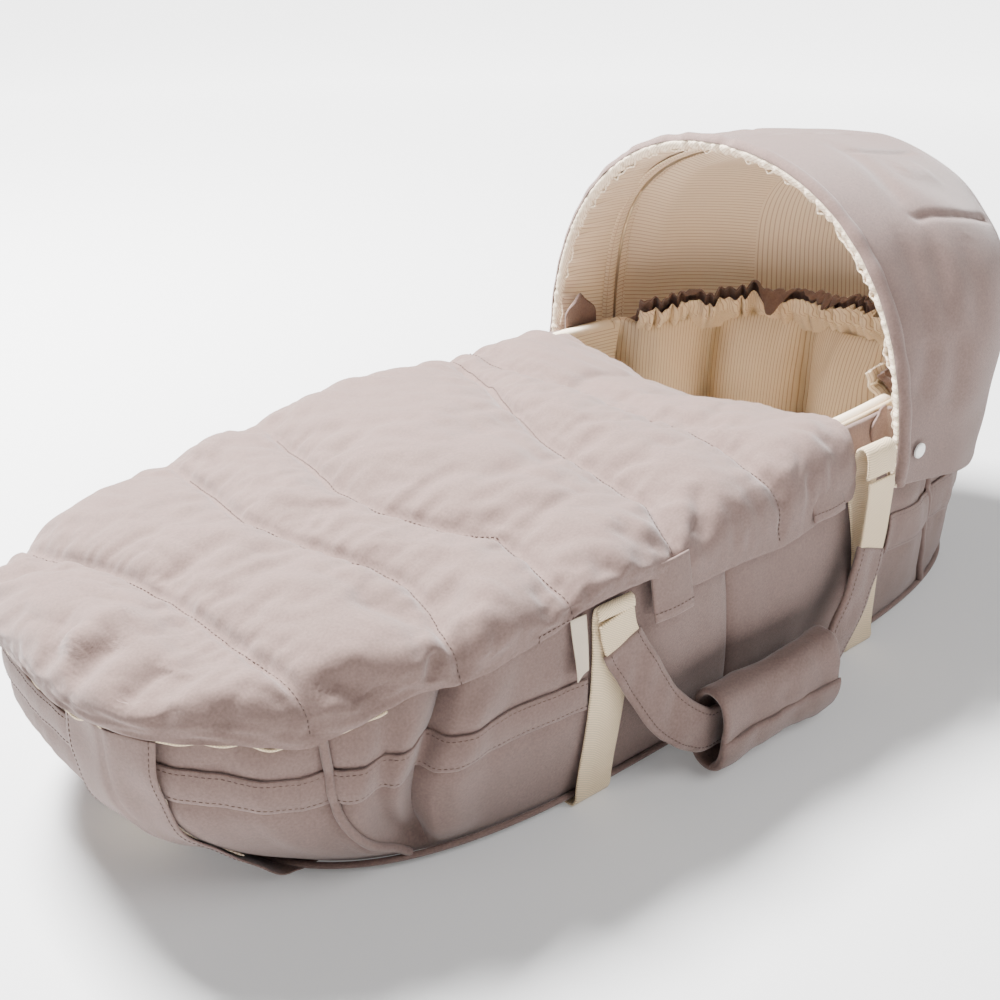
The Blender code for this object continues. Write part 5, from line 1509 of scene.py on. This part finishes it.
casing_turn = np.linspace(0.06, math.pi - 0.06, 200)[None, :]
share = np.linspace(0, 1, 9)[:, None]
casing_x = CASING_X[0] + (CASING_X[1] - CASING_X[0]) * share
raise_middle = 1.6 * MM * np.sin(math.pi * share) ** 0.7
casing = arch(np.broadcast_to(casing_x, (9, 200)), np.broadcast_to(casing_turn, (9, 200)), 0.0)
towards = unit((np.array([0.24, 0.0, 0.15]) - casing) * (0, 1, 1))
casing = eased_in(casing + (LINING_INSET + 1.5 * MM + raise_middle)[..., None] * towards)
tape = shell("hood_bow_casing_tape", casing, 1.2 * MM, striped_cotton, uv=metres(casing)[..., ::-1],
             inward=turned_to(casing, towards[4, 100], 4, 100))
place(tape, "hood_front", "striped_cotton", "hood_bow_casing")
tan_thread = woven("tan_thread", (0.62, 0.46, 0.31), fleck=0.05, sheen=0.1)
for name, row in (("front", 1), ("rear", -2)):
    seam = stitches(f"bow_casing_stitches_{name}", casing[row], towards[row], tan_thread)
    place(seam, "hood_front", "striped_cotton")


# Bow pockets
# Two ears of the mauve cotton at the cot's sides, each a doubled flap that holds an end of the bow.
# They stand up from the wall, round at the top, and lean out a little.
POCKET_X = 0.196
POCKET_LOW = 0.158
POCKET_HALF_WIDTH = 17 * MM
POCKET_HEIGHT = 46 * MM
POCKET_THICK = 2.6 * MM

for label, side in SIDES:
    t = np.linspace(-1, 1, 19)[:, None]
    h = np.linspace(0, 1, 22)[None, :]
    width = POCKET_HALF_WIDTH * np.sqrt(1 - 0.92 * smooth(0.55, 1.0, h) ** 2)
    angle = angle_at(POCKET_X + width * t - 8 * MM * h, side)
    z = POCKET_LOW + POCKET_HEIGHT * h - 3 * MM * t ** 2
    lean = 2.0 * MM + 5 * MM * h ** 2 - 2.5 * MM * np.abs(t)
    ear = wall(angle, z, lean)
    flap = shell(f"bow_pocket_{label}_cloth", ear, POCKET_THICK, taupe_cotton, inward=-side)
    place(flap, "root", "taupe_cotton", f"bow_pocket_{label}")


# Snaps
# White plastic caps at the hood's front feet, over metal studs. The caps' solids stay in sight and
# only get their glossy finish here.
white_plastic = new_finish("white_plastic", {"Base Color": (0.86, 0.85, 0.82, 1.0), "Roughness": 0.28,
                                             "Coat Weight": 0.3})
on_cap = node(white_plastic, "TexCoord", {}).outputs["Object"]
mottle = node(white_plastic, "TexNoise", {"Scale": 400.0, "Vector": on_cap}).outputs["Fac"]
mottle_bump = node(white_plastic, "Bump", {"Strength": 0.1, "Distance": 0.05 * MM, "Height": mottle})
shade(white_plastic, {"Normal": mottle_bump.outputs[0]})
refinish(white_plastic, *(f"hood_snap_cap_{label}" for label, _ in SIDES))


# Rim binding
# A narrow cream edge, where the lining is turned over the rim beside the hood. It is rolled, so it
# is built as a thin rod along the rim.
for label, side in SIDES:
    angles = angle_at(np.linspace(0.138, 0.232, 60), side)
    line = wall(angles, rim_height(angles) + 1.6 * MM, -5.5 * MM)
    edging = rod(f"rim_binding_{label}_cord", line, 1.9 * MM, webbing_cotton, [0.0, 0.0, 1.0])
    place(edging, "root", "cream_tape", f"rim_binding_{label}")


# Cover tabs and hem elastic
# Folded tabs of the cotton on the cover's long edges, which button to the cot, and the cream
# elastic that shows under the gathered hem at the foot.
TABS = (("front", -0.058, 0.133, 0.170), ("rear", 0.100, 0.150, 0.184))
TAB_HALF_WIDTH = 16.5 * MM
FAR_TAB_DROP = 14 * MM
ELASTIC_END_X = -0.27

for label, side in SIDES:
    for name, x, low, high in TABS:
        solid = f"cover_tab_{name}_{label}"
        t = np.linspace(-1, 1, 13)[:, None]
        h = np.linspace(0, 1, 15)[None, :]
        angle = angle_at(x + TAB_HALF_WIDTH * t, side)
        curl = 0.8 * MM * np.cos(2.2 * t) + 1.2 * MM * smooth(0.35, 0.0, h)
        slump = FAR_TAB_DROP if side > 0 else 0.0
        tab = wall(angle, low - slump + (high - low) * h, COVER_OUT + 2.9 * MM + curl)
        cloth = shell(f"{solid}_cloth", tab, 2.4 * MM, taupe_cotton, inward=-side)
        place(cloth, "cover", "taupe_cotton", solid)
        outward = np.broadcast_to([0.0, side, 0.0], (len(tab), 3))
        place(stitches(f"{solid}_stitches", tab[:, 2], outward), "cover", "taupe_cotton")

angles = spread(*ends_at(ELASTIC_END_X, round_foot=True), 2 * MM)
line = wall(angles, COVER_EDGE_HEIGHT, COVER_OUT - 0.6 * COVER_THICK)
line[:, 2] = np.interp(line[:, 0], HEM_STATIONS, HEM_HEIGHTS) + 1.2 * MM
line = line + (1.9 * MM * ripple(walked(angles)[:, None], 0.030, 111))[:, None] * [0.0, 0.0, -1.0]
elastic = rod("cover_hem_elastic_cord", line, 1.2 * MM, webbing_cotton, [0.0, 0.0, 1.0])
place(elastic, "cover", "cream_tape", "cover_hem_elastic")
